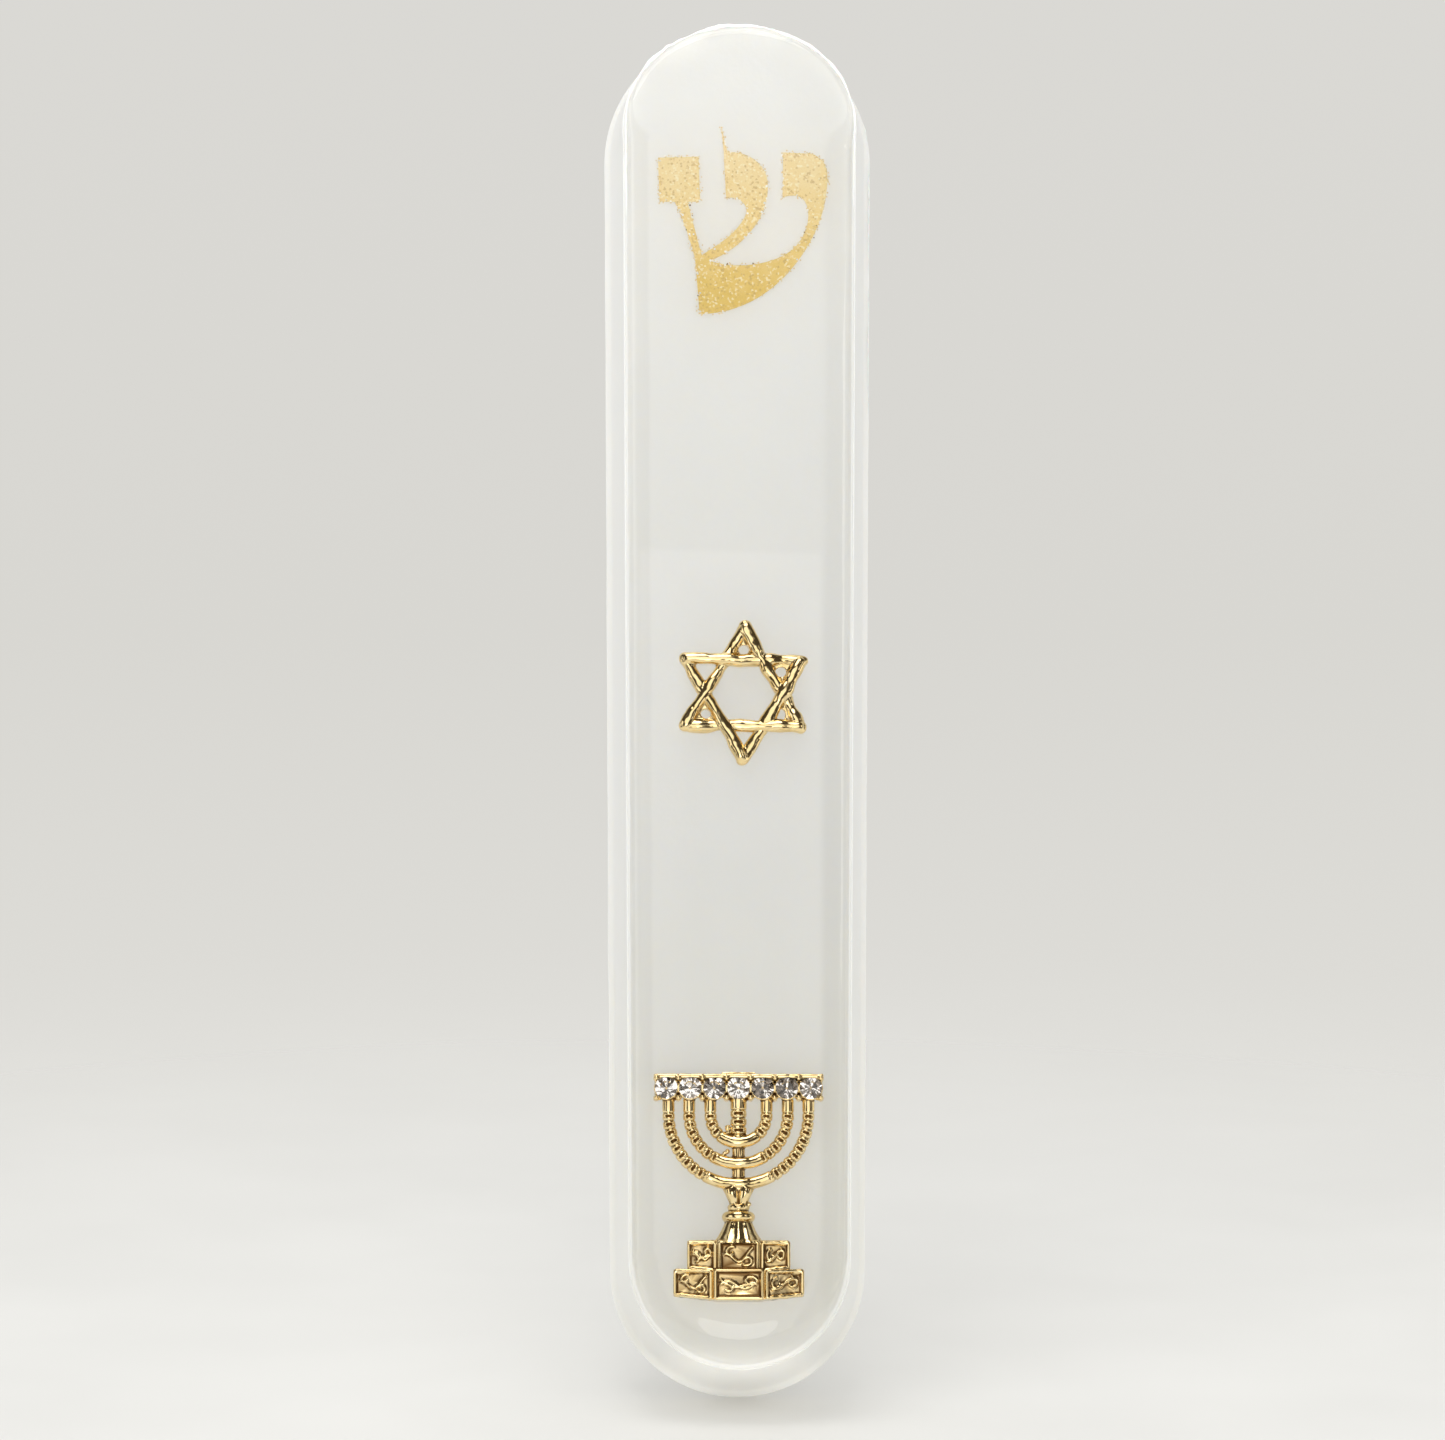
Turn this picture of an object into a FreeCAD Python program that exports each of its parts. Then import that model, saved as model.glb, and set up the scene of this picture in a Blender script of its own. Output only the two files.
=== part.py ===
import FreeCAD, Part
import math
import os
from FreeCAD import Vector

# Mezuzah case for a doorpost: a cast-resin shell with a scroll compartment in its back, closed by
# a drop-in cover, and gold charms on its front under and on a clear coat.
# Millimetres. +Z is up and the front faces -Y. The heights below are from the middle of the case;
# the finished part's origin is the middle of the upper tape pad's face on the doorpost.

# Case: an upright outline with round ends that narrows from back to front and a little downwards
CASE_TOP_WIDTH = 24.5
CASE_BOTTOM_WIDTH = 23.3
CASE_HEIGHT = 126.0
CASE_DEPTH = 14.0
DRAFT_INSET = 1.9
COAT_THICKNESS = 1.2
COAT_EDGE_RADIUS = 0.7

# Foam tape between the case and the doorpost
TAPE_THICKNESS = 1.0
TAPE_CORNER_RADIUS = 1.0
UPPER_TAPE_WIDTH = 16.0
UPPER_TAPE_HEIGHT = 36.0
UPPER_TAPE_Z = 36.0
LOWER_TAPE_WIDTH = 14.0
LOWER_TAPE_HEIGHT = 6.0
LOWER_TAPE_Z = -56.6

# Rolled parchment: half circles of growing radius, in a film sleeve
SCROLL_LENGTH = 60.0
PARCHMENT_THICKNESS = 0.25
SCROLL_CORE_RADIUS = 1.75
SCROLL_TURN_PITCH = 0.6
SCROLL_HALF_TURNS = 7
SLEEVE_RADIUS = 4.1
SLEEVE_WALL = 0.1
SLEEVE_LENGTH = 60.4

# Scroll compartment: a channel for the sleeve, and a rebate round it for the cover
CHANNEL_SIDE_CLEARANCE = 1.2
CHANNEL_END_CLEARANCE = 1.1
CHANNEL_DEPTH_CLEARANCE = 0.6
CHANNEL_CORNER_RADIUS = 2.5
LEDGE_SIDE = 3.1
LEDGE_END = 1.95
REBATE_DEPTH = 1.3
REBATE_CORNER_RADIUS = 1.5
REBATE_TOP_Z = 14.5

# Cover
COVER_THICKNESS = 1.2
COVER_CLEARANCE = 0.15
NOTCH_RADIUS = 3.0

# Shin inlay, a flat letter under the coat
SHIN_X = 0.0
SHIN_Z = 43.0
INLAY_THICKNESS = 0.25

# Star charm: six round bars, each over its neighbour at one crossing and under it at the other
STAR_X = 0.3
STAR_Z = -0.28
STAR_RADIUS = 6.1
STAR_TURN = 1.0
STAR_BAR_RADIUS = 0.55
STAR_BAR_DEPTH = 0.45
STAR_WEAVE = 0.18
STAR_WEB_THICKNESS = 0.5
STAR_HOLE_RADIUS = 0.45
STAR_WEBBED_TIPS = (0, 1, 2, 4)

# Menorah charm: seven stone cups on a rail, three nested arms, a stem and a two-tier base
MENORAH_X = -0.15
MENORAH_TOP_Z = -34.86
CUP_PITCH = 2.17
CUP_COUNT = 7
CUP_DEPTH = 0.45
STONE_RADIUS = 0.985
RAIL_WIDTH = 15.5
RAIL_HEIGHT = 2.55
RAIL_THICKNESS = 1.0
RAIL_TAB_WIDTH = 3.1
RAIL_TAB_HEIGHT = 0.18
ARM_CENTRE_DROP = 3.65
ARM_RADII = (6.29, 4.44, 2.53)
ARM_BAR_RADIUS = 0.54
STEM_RADIUS = 0.73
# Drop below the rail's top and radius of each ring of the turned calyx, neck and collar
TURNED_PROFILE = (
    (9.9, 0.73),
    (10.4, 1.23),
    (11.7, 0.82),
    (12.3, 0.95),
    (12.5, 1.37),
    (13.3, 1.37),
    (13.6, 1.15),
    (15.3, 2.1),
)
# Top, bottom, outer half width, middle half width, outer and middle thickness of each tier
BASE_TIERS = (
    (15.2, 17.9, 4.57, 1.8, 0.8, 1.9),
    (17.6, 20.7, 5.82, 2.27, 1.0, 2.4),
)

# Stones: a cone below the girdle, a cut-off cone above it
STONE_FOOT_RADIUS = 0.35
STONE_TABLE_RADIUS = 0.55
STONE_PAVILION = 0.4
STONE_CROWN = 0.35
STONE_CLEARANCE = 0.03

# The part's origin, in the case's own coordinates: the middle of the upper tape's outer face
ORIGIN = Vector(0, 0, UPPER_TAPE_Z)

# Depths, from the doorpost towards the front
BACK_Y = -TAPE_THICKNESS
FRONT_Y = BACK_Y - CASE_DEPTH
COAT_Y = FRONT_Y + COAT_THICKNESS
REBATE_Y = BACK_Y - REBATE_DEPTH
CHANNEL_Y = REBATE_Y - 2 * SLEEVE_RADIUS - CHANNEL_DEPTH_CLEARANCE
SCROLL_Y = (REBATE_Y + CHANNEL_Y) / 2

# Compartment sizes
CHANNEL_WIDTH = 2 * (SLEEVE_RADIUS + CHANNEL_SIDE_CLEARANCE)
CHANNEL_HEIGHT = SLEEVE_LENGTH + 2 * CHANNEL_END_CLEARANCE
REBATE_WIDTH = CHANNEL_WIDTH + 2 * LEDGE_SIDE
REBATE_HEIGHT = CHANNEL_HEIGHT + 2 * LEDGE_END
COMPARTMENT_Z = REBATE_TOP_Z - REBATE_HEIGHT / 2

TO_FRONT = Vector(0, -1, 0)
UP = Vector(0, 0, 1)


def case_outline(inset, y):
    """Upright outline at depth y: round ends joined by straight sides tangent to both."""
    top_radius = CASE_TOP_WIDTH / 2 - inset
    low_radius = CASE_BOTTOM_WIDTH / 2 - inset
    top_centre = Vector(0, y, (CASE_HEIGHT - CASE_TOP_WIDTH) / 2)
    low_centre = Vector(0, y, (CASE_BOTTOM_WIDTH - CASE_HEIGHT) / 2)
    slope = (low_radius - top_radius) / (top_centre.z - low_centre.z)
    to_right = Vector(math.sqrt(1 - slope**2), 0, slope)
    to_left = Vector(-to_right.x, 0, slope)
    top_right = top_centre + to_right * top_radius
    top_left = top_centre + to_left * top_radius
    low_right = low_centre + to_right * low_radius
    low_left = low_centre + to_left * low_radius
    return Part.Wire([
        Part.Arc(top_left, top_centre + UP * top_radius, top_right).toShape(),
        Part.makeLine(top_right, low_right),
        Part.Arc(low_right, low_centre - UP * low_radius, low_left).toShape(),
        Part.makeLine(low_left, top_left),
    ])


def rounded_block(width, height, radius, front_y, back_y, middle_z):
    """Block between two depths, its upright outline rounded at the four corners."""
    corner = Vector(-width / 2, front_y, middle_z - height / 2)
    block = Part.makeBox(width, back_y - front_y, height, corner)
    depth_edges = [edge for edge in block.Edges if abs(edge.tangentAt(0).y) > 0.99]
    return block.makeFillet(radius, depth_edges)


def front_slab(front_y, back_y):
    """Slab wider than the whole case, to split it at a depth."""
    corner = Vector(-CASE_TOP_WIDTH, front_y, -CASE_HEIGHT)
    return Part.makeBox(2 * CASE_TOP_WIDTH, back_y - front_y, 2 * CASE_HEIGHT, corner)


def case_block():
    """The whole casting, body and coat, before it is split."""
    outlines = [case_outline(0, BACK_Y), case_outline(DRAFT_INSET, FRONT_Y)]
    return Part.makeLoft(outlines, True, True)


def case_body():
    """Resin shell behind the coat, with the rebate and the channel open at its back."""
    shell = case_block().common(front_slab(COAT_Y, BACK_Y))
    rebate = rounded_block(
        REBATE_WIDTH, REBATE_HEIGHT, REBATE_CORNER_RADIUS, REBATE_Y, 0, COMPARTMENT_Z
    )
    channel = rounded_block(
        CHANNEL_WIDTH, CHANNEL_HEIGHT, CHANNEL_CORNER_RADIUS, CHANNEL_Y, 0, COMPARTMENT_Z
    )
    return shell.cut(rebate).cut(channel)


def clear_front_coat(inlay):
    """Clear layer over the front, rounded at its rim, that lies round and over the inlay."""
    layer = case_block().common(front_slab(FRONT_Y, COAT_Y))
    rim = [edge for edge in layer.Edges if edge.BoundBox.YMax < FRONT_Y + COAT_EDGE_RADIUS / 2]
    return layer.makeFillet(COAT_EDGE_RADIUS, rim).cut(inlay)


def shin_edge(stretch):
    """Line through two points of the letter, or a smooth curve through more."""
    points = [Vector(SHIN_X + x, COAT_Y, SHIN_Z + z) for x, z in stretch]
    if len(points) == 2:
        return Part.makeLine(*points)
    curve = Part.BSplineCurve()
    curve.interpolate(points)
    return curve.toShape()


def shin_inlay():
    """Letter shin: a boat-shaped base with a straight left arm and two curved arms."""
    left_head = [(-5.9, 1.9), (-7.25, 1.95), (-7.4, 6.0), (-3.75, 6.1), (-3.6, 1.95), (-4.75, 1.9)]
    left_arm_inside = [(-4.75, 1.9), (-3.45, -3.0)]
    middle_arm_inside = [(-3.45, -3.0), (-1.3, -1.5), (0.2, 0.1), (0.6, 1.3), (0.0, 2.1), (-1.25, 2.2)]
    middle_head = [(-1.25, 2.2), (-1.45, 6.4), (-1.7, 9.0), (-1.1, 6.5)]
    middle_arm_outside = [(-1.1, 6.5), (0.6, 6.25), (2.2, 4.9), (2.55, 2.9), (1.8, 0.4), (-2.8, -3.5)]
    base_top = [(-2.8, -3.5), (-0.6, -3.9), (2.2, -3.65), (4.7, -2.5), (6.2, 0.3), (5.9, 2.0), (3.9, 2.35)]
    right_head = [(3.9, 2.35), (3.95, 6.5), (6.5, 6.4)]
    underside = [(6.5, 6.4), (7.7, 5.4), (7.9, 3.4), (7.2, 0.1), (5.5, -3.2), (2.4, -6.4), (-3.65, -8.4)]
    left_edge = [(-3.65, -8.4), (-4.05, -3.4)]
    left_arm_outside = [(-4.05, -3.4), (-4.75, -1.0), (-5.9, 1.9)]
    stretches = [left_arm_inside, middle_arm_inside, middle_arm_outside, base_top, underside]
    stretches += [left_edge, left_arm_outside]
    for corners in (left_head, middle_head, right_head):
        stretches += list(zip(corners, corners[1:]))
    edges = [shin_edge(stretch) for stretch in stretches]
    outline = Part.Wire(Part.__sortEdges__(edges))
    return Part.Face(outline).extrude(TO_FRONT * INLAY_THICKNESS)


def star_point(radius, clock_angle, depth):
    """Point of the star, its angle counted clockwise from the top, in front of the coat."""
    angle = math.radians(90 - clock_angle - STAR_TURN)
    x = STAR_X + radius * math.cos(angle)
    z = STAR_Z + radius * math.sin(angle)
    return Vector(x, FRONT_Y - depth, z)


def star_bar(index):
    """Bar from one tip to the next but one, high where it starts and low where it ends."""
    start = star_point(STAR_RADIUS, 60 * index, STAR_BAR_DEPTH + STAR_WEAVE)
    end = star_point(STAR_RADIUS, 60 * (index + 2), STAR_BAR_DEPTH - STAR_WEAVE)
    along = end - start
    bar = Part.makeCylinder(STAR_BAR_RADIUS, along.Length, start, along)
    ends = [Part.makeSphere(STAR_BAR_RADIUS, start), Part.makeSphere(STAR_BAR_RADIUS, end)]
    return bar.multiFuse(ends)


def star_web(index):
    """Thin web with a round hole that fills one point of the star."""
    tip_angle = 60 * index
    crossing_radius = STAR_RADIUS / math.sqrt(3)
    corners = [
        star_point(STAR_RADIUS, tip_angle, 0),
        star_point(crossing_radius, tip_angle + 30, 0),
        star_point(crossing_radius, tip_angle - 30, 0),
    ]
    web = Part.Face(Part.makePolygon(corners + corners[:1])).extrude(TO_FRONT * STAR_WEB_THICKNESS)
    middle = star_point(STAR_RADIUS * 2 / 3, tip_angle, 0)
    return web.cut(Part.makeCylinder(STAR_HOLE_RADIUS, STAR_WEB_THICKNESS, middle, TO_FRONT))


def star_charm():
    """Woven six-pointed star, flat at its back."""
    bars = [star_bar(index) for index in range(6)]
    webs = [star_web(index) for index in STAR_WEBBED_TIPS]
    star = bars[0].multiFuse(bars[1:] + webs)
    return star.cut(front_slab(FRONT_Y, 0))


def menorah_point(x, depth, drop):
    """Point from the charm's middle line, the coat's face and the rail's top edge."""
    return Vector(MENORAH_X + x, FRONT_Y - depth, MENORAH_TOP_Z - drop)


def cup_x(index):
    """Place of a stone cup across the rail, counted from the left."""
    return (index - (CUP_COUNT - 1) / 2) * CUP_PITCH


def rail_block(width, height, low_drop):
    """Block of the rail's thickness, centred across the charm, from a drop upwards."""
    corner = menorah_point(-width / 2, RAIL_THICKNESS, low_drop)
    return Part.makeBox(width, RAIL_THICKNESS, height, corner)


def menorah_rail():
    """Bar that carries the stones, with a small tab on its top edge."""
    bar = rail_block(RAIL_WIDTH, RAIL_HEIGHT, RAIL_HEIGHT)
    tab = rail_block(RAIL_TAB_WIDTH, RAIL_TAB_HEIGHT, 0)
    cups = []
    for index in range(CUP_COUNT):
        mouth = menorah_point(cup_x(index), RAIL_THICKNESS - CUP_DEPTH, RAIL_HEIGHT / 2)
        cups.append(Part.makeCylinder(STONE_RADIUS + STONE_CLEARANCE, CUP_DEPTH, mouth, TO_FRONT))
    return bar.fuse(tab).cut(Part.makeCompound(cups))


def menorah_arm(radius):
    """U-shaped arm pair: two short uprights and a half circle, of round bar."""
    left_top = menorah_point(-radius, 0, RAIL_HEIGHT - ARM_BAR_RADIUS)
    left_low = menorah_point(-radius, 0, ARM_CENTRE_DROP)
    bottom = menorah_point(0, 0, ARM_CENTRE_DROP + radius)
    right_low = menorah_point(radius, 0, ARM_CENTRE_DROP)
    right_top = menorah_point(radius, 0, RAIL_HEIGHT - ARM_BAR_RADIUS)
    path = Part.Wire([
        Part.makeLine(left_top, left_low),
        Part.Arc(left_low, bottom, right_low).toShape(),
        Part.makeLine(right_low, right_top),
    ])
    section = Part.Wire([Part.makeCircle(ARM_BAR_RADIUS, left_top, UP)])
    return path.makePipeShell([section], True, False)


def menorah_stem():
    """Straight stem and the turned calyx, neck and collar below it."""
    top = menorah_point(0, 0, RAIL_HEIGHT - ARM_BAR_RADIUS)
    first_drop = TURNED_PROFILE[0][0]
    stem = Part.makeCylinder(STEM_RADIUS, top.z - menorah_point(0, 0, first_drop).z, top, UP * -1)
    outline = [menorah_point(0, 0, first_drop)]
    outline += [menorah_point(radius, 0, drop) for drop, radius in TURNED_PROFILE]
    outline.append(menorah_point(0, 0, TURNED_PROFILE[-1][0]))
    profile = Part.Face(Part.makePolygon(outline + outline[:1]))
    turned = profile.revolve(menorah_point(0, 0, 0), UP, 360)
    return stem.fuse(turned)


def base_tier(top, bottom, outer, middle, outer_depth, middle_depth):
    """Tier with a middle panel and two side panels that fall back from it."""
    plan = [
        (-outer, 0),
        (-outer, outer_depth),
        (-middle, middle_depth),
        (middle, middle_depth),
        (outer, outer_depth),
        (outer, 0),
    ]
    corners = [menorah_point(x, depth, bottom) for x, depth in plan]
    return Part.Face(Part.makePolygon(corners + corners[:1])).extrude(UP * (bottom - top))


def menorah_charm():
    """Seven-branched lamp stand, flat at its back."""
    arms = [menorah_arm(radius) for radius in ARM_RADII]
    tiers = [base_tier(*tier) for tier in BASE_TIERS]
    stand = menorah_rail().multiFuse(arms + [menorah_stem()] + tiers)
    return stand.cut(front_slab(FRONT_Y, 0))


def crystal(index):
    """Stone in one cup of the rail."""
    foot = menorah_point(cup_x(index), RAIL_THICKNESS - CUP_DEPTH, RAIL_HEIGHT / 2)
    girdle = foot + TO_FRONT * STONE_PAVILION
    pavilion = Part.makeCone(STONE_FOOT_RADIUS, STONE_RADIUS, STONE_PAVILION, foot, TO_FRONT)
    crown = Part.makeCone(STONE_RADIUS, STONE_TABLE_RADIUS, STONE_CROWN, girdle, TO_FRONT)
    return pavilion.fuse(crown)


def rear_cover():
    """Plate that drops into the rebate, with a finger notch in its lower edge."""
    plate = rounded_block(
        REBATE_WIDTH - 2 * COVER_CLEARANCE,
        REBATE_HEIGHT - 2 * COVER_CLEARANCE,
        REBATE_CORNER_RADIUS - COVER_CLEARANCE,
        REBATE_Y,
        REBATE_Y + COVER_THICKNESS,
        COMPARTMENT_Z,
    )
    notch_centre = Vector(0, 0, COMPARTMENT_Z - REBATE_HEIGHT / 2)
    return plate.cut(Part.makeCylinder(NOTCH_RADIUS, CASE_DEPTH, notch_centre, TO_FRONT))


def spiral_edges(offset):
    """Half circles of the roll in its end plane, offset outwards from the inner face."""
    shift = SCROLL_TURN_PITCH / 2
    low_z = COMPARTMENT_Z - SCROLL_LENGTH / 2
    edges = []
    for index in range(SCROLL_HALF_TURNS):
        radius = SCROLL_CORE_RADIUS + index * shift + offset
        side = 1 if index % 2 == 0 else -1
        centre_x = 0 if side > 0 else shift
        start = Vector(centre_x + side * radius, SCROLL_Y, low_z)
        middle = Vector(centre_x, SCROLL_Y + side * radius, low_z)
        end = Vector(centre_x - side * radius, SCROLL_Y, low_z)
        edges.append(Part.Arc(start, middle, end).toShape())
    return edges


def parchment_scroll():
    """Parchment rolled into a loose spiral."""
    inner = spiral_edges(0)
    outer = spiral_edges(PARCHMENT_THICKNESS)
    inner_end = inner[0].valueAt(inner[0].FirstParameter)
    outer_end = outer[0].valueAt(outer[0].FirstParameter)
    inner_tail = inner[-1].valueAt(inner[-1].LastParameter)
    outer_tail = outer[-1].valueAt(outer[-1].LastParameter)
    ends = [Part.makeLine(inner_end, outer_end), Part.makeLine(inner_tail, outer_tail)]
    outline = Part.Wire(Part.__sortEdges__(inner + outer + ends))
    return Part.Face(outline).extrude(UP * SCROLL_LENGTH)


def scroll_sleeve():
    """Film tube round the scroll."""
    low = Vector(0, SCROLL_Y, COMPARTMENT_Z - SLEEVE_LENGTH / 2)
    outside = Part.makeCylinder(SLEEVE_RADIUS, SLEEVE_LENGTH, low)
    return outside.cut(Part.makeCylinder(SLEEVE_RADIUS - SLEEVE_WALL, SLEEVE_LENGTH, low))


def tape_pad(width, height, middle_z):
    """Foam tape on the case's flat back."""
    return rounded_block(width, height, TAPE_CORNER_RADIUS, BACK_Y, 0, middle_z)


def main():
    inlay = shin_inlay()
    pieces = {
        "case_body": case_body(),
        "clear_front_coat": clear_front_coat(inlay),
        "shin_inlay": inlay,
        "star_charm": star_charm(),
        "menorah_charm": menorah_charm(),
        "rear_cover": rear_cover(),
        "parchment_scroll": parchment_scroll(),
        "scroll_sleeve": scroll_sleeve(),
        "upper_tape_pad": tape_pad(UPPER_TAPE_WIDTH, UPPER_TAPE_HEIGHT, UPPER_TAPE_Z),
        "lower_tape_pad": tape_pad(LOWER_TAPE_WIDTH, LOWER_TAPE_HEIGHT, LOWER_TAPE_Z),
    }
    for index in range(CUP_COUNT):
        pieces[f"crystal_{index + 1}"] = crystal(index)
    os.makedirs("parts", exist_ok=True)
    for name, shape in pieces.items():
        shape.translate(-ORIGIN)
        shape.exportStep(f"parts/{name}.step")
        print(name, len(shape.Solids), shape.isValid(), round(shape.Volume, 2))


main()
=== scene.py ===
import math
import random

import bmesh
import bpy
import numpy as np
from mathutils import Matrix, Vector, noise
from mathutils.geometry import tessellate_polygon

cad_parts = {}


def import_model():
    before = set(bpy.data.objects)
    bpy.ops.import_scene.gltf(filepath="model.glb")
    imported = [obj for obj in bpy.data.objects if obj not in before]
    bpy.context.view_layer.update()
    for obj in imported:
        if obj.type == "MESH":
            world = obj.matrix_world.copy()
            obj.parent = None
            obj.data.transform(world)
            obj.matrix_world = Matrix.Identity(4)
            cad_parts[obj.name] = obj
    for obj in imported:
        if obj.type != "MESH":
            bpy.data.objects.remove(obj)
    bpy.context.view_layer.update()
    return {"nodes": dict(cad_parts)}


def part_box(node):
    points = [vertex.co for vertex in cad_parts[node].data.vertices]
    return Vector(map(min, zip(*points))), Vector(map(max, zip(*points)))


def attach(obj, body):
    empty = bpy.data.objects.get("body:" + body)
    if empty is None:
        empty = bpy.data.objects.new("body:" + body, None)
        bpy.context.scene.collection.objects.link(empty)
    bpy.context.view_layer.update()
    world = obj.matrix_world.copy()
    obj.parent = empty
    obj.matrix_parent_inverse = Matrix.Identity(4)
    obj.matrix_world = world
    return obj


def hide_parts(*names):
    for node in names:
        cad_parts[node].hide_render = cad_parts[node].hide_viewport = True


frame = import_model()

MM = 0.001
UP = Vector((0, 0, 1))


def box_mm(node):
    """Low and high corners of a CAD node's box in millimetres."""
    return [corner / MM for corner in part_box(node)]


def node_middle(node):
    """Middle of a CAD node in millimetres."""
    low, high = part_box(node)
    return (low + high) / 2 / MM


# The case in millimetres: x to the right, y towards the doorpost and 0 on its surface. The outline
# is drawn with z from the middle of the case. SHOULDER squares off the top of its front.
CASE_LOW, CASE_HIGH = box_mm("case_body")
MIDDLE_Z = (CASE_LOW.z + CASE_HIGH.z) / 2
HALF_HEIGHT = (CASE_HIGH.z - CASE_LOW.z) / 2
TOP_RADIUS = CASE_HIGH.x
TAPER = 0.6
BOTTOM_RADIUS = TOP_RADIUS - TAPER
BACK_Y = CASE_HIGH.y
BODY_FRONT_Y = CASE_LOW.y
FRONT_Y = box_mm("clear_front_coat")[0].y
FRONT_INSET = 1.9
SHOULDER = 1.35


def in_row_frame(points):
    """Points in the case's millimetres as an array in metres in the row frame."""
    moved = np.array(points, float).reshape(-1, 3)
    moved[:, 2] += MIDDLE_Z
    return moved * MM


# ---------------------------------------------------------------- mesh tools


def make_piece(name, points, faces, sharp_degrees):
    """Smooth-shaded object from points in metres, with edges sharper than an angle left sharp."""
    mesh = bpy.data.meshes.new(name)
    mesh.from_pydata([tuple(point) for point in points], [], [tuple(face) for face in faces])
    mesh.validate()
    mesh.shade_smooth()
    if sharp_degrees:
        mesh.set_sharp_from_angle(angle=math.radians(sharp_degrees))
    piece = bpy.data.objects.new(name, mesh)
    bpy.context.scene.collection.objects.link(piece)
    return piece


def closed_piece(name, points, faces, sharp_degrees, *looks):
    """Piece with its faces turned outwards, and its materials."""
    piece = make_piece(name, points, faces, sharp_degrees)
    work = bmesh.new()
    work.from_mesh(piece.data)
    bmesh.ops.recalc_face_normals(work, faces=work.faces)
    work.to_mesh(piece.data)
    work.free()
    for look in looks:
        piece.data.materials.append(look)
    return piece


def install(piece, body, slot, *nodes, shades=True):
    """Puts a piece on its body in place of CAD nodes; the slot argument is not used."""
    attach(piece, body)
    piece.visible_shadow = shades
    if nodes:
        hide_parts(*nodes)


def strip_faces(ring_count, ring_size):
    """Quads between neighbouring closed rings of the same size."""
    faces = []
    for ring in range(ring_count - 1):
        for place in range(ring_size):
            here = ring * ring_size + place
            beside = ring * ring_size + (place + 1) % ring_size
            faces.append((here, beside, beside + ring_size, here + ring_size))
    return faces


def capped_strip(ring_count, ring_size):
    """Faces of a closed bar: quads between its rings and a cap at each end."""
    faces = strip_faces(ring_count, ring_size)
    faces.append(tuple(reversed(range(ring_size))))
    faces.append(tuple(range((ring_count - 1) * ring_size, ring_count * ring_size)))
    return faces


class Shell:
    """Closed surface put together from rings of points and flat caps."""

    def __init__(self):
        self.points = []
        self.faces = []

    def add_ring(self, ring):
        """Adds a ring of points and gives their indices."""
        first = len(self.points)
        self.points.extend(tuple(point) for point in ring)
        return list(range(first, len(self.points)))

    def add_walls(self, rings):
        """Joins rings of the same size, one after another, and gives the first and last."""
        indices = [self.add_ring(ring) for ring in rings]
        for low, high in zip(indices, indices[1:]):
            size = len(low)
            for place in range(size):
                beside = (place + 1) % size
                self.faces.append((low[place], low[beside], high[beside], high[place]))
        return indices[0], indices[-1]

    def add_cap(self, *loops):
        """Fills the flat area inside the first loop and outside the others."""
        flat_loops = [[Vector(self.points[index]) for index in loop] for loop in loops]
        order = [index for loop in loops for index in loop]
        for triangle in tessellate_polygon(flat_loops):
            self.faces.append(tuple(order[corner] for corner in triangle))


def frames_along(points):
    """Two unit vectors across the path at each of its points, turning as little as possible."""
    path = [Vector(point) for point in points]
    count = len(path)
    tangents = []
    for index in range(count):
        before = path[max(index - 1, 0)]
        after = path[min(index + 1, count - 1)]
        tangents.append((after - before).normalized())
    first = tangents[0]
    side = first.cross(Vector((0, 1, 0)))
    if side.length < 1e-3:
        side = first.cross(Vector((1, 0, 0)))
    side.normalize()
    frames = []
    for tangent in tangents:
        side = (side - tangent * side.dot(tangent)).normalized()
        frames.append((side, tangent.cross(side)))
    return path, frames


# Part of a bar's surface that a slot cuts: where it faces the front more than this
SLOT_FACING = -0.8


def tube(points, radii, sides=16, slots=None):
    """Closed round bar along a path, with a radius and a share cut off its front at each point."""
    path, frames = frames_along(points)
    slots = slots or [0.0] * len(path)
    rings = []
    for centre, radius, slot, (side, other) in zip(path, radii, slots, frames):
        for step in range(sides):
            angle = 2 * math.pi * step / sides
            outward = side * math.cos(angle) + other * math.sin(angle)
            cut = slot if outward.y < SLOT_FACING else 0.0
            rings.append(centre + outward * radius * (1 - cut))
    return [tuple(point) for point in rings], capped_strip(len(path), sides)


def turned(profile, sides=48, flutes=0, flute_depth=0.0, squash=1.0):
    """Solid turned about the middle line, from (drop, radius) pairs, with optional flutes."""
    points = []
    for drop, radius in profile:
        for step in range(sides):
            angle = 2 * math.pi * step / sides
            reach = radius * (1 - flute_depth * (0.5 - 0.5 * math.cos(flutes * angle)))
            points.append((reach * math.cos(angle), -squash * reach * math.sin(angle), -drop))
    return points, capped_strip(len(profile), sides)


def hexahedron(low_corners, high_corners):
    """Block between two four-cornered ends."""
    points = [tuple(corner) for corner in list(low_corners) + list(high_corners)]
    faces = [(3, 2, 1, 0), (4, 5, 6, 7)]
    faces += [(side, (side + 1) % 4, 4 + (side + 1) % 4, 4 + side) for side in range(4)]
    return points, faces


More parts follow.
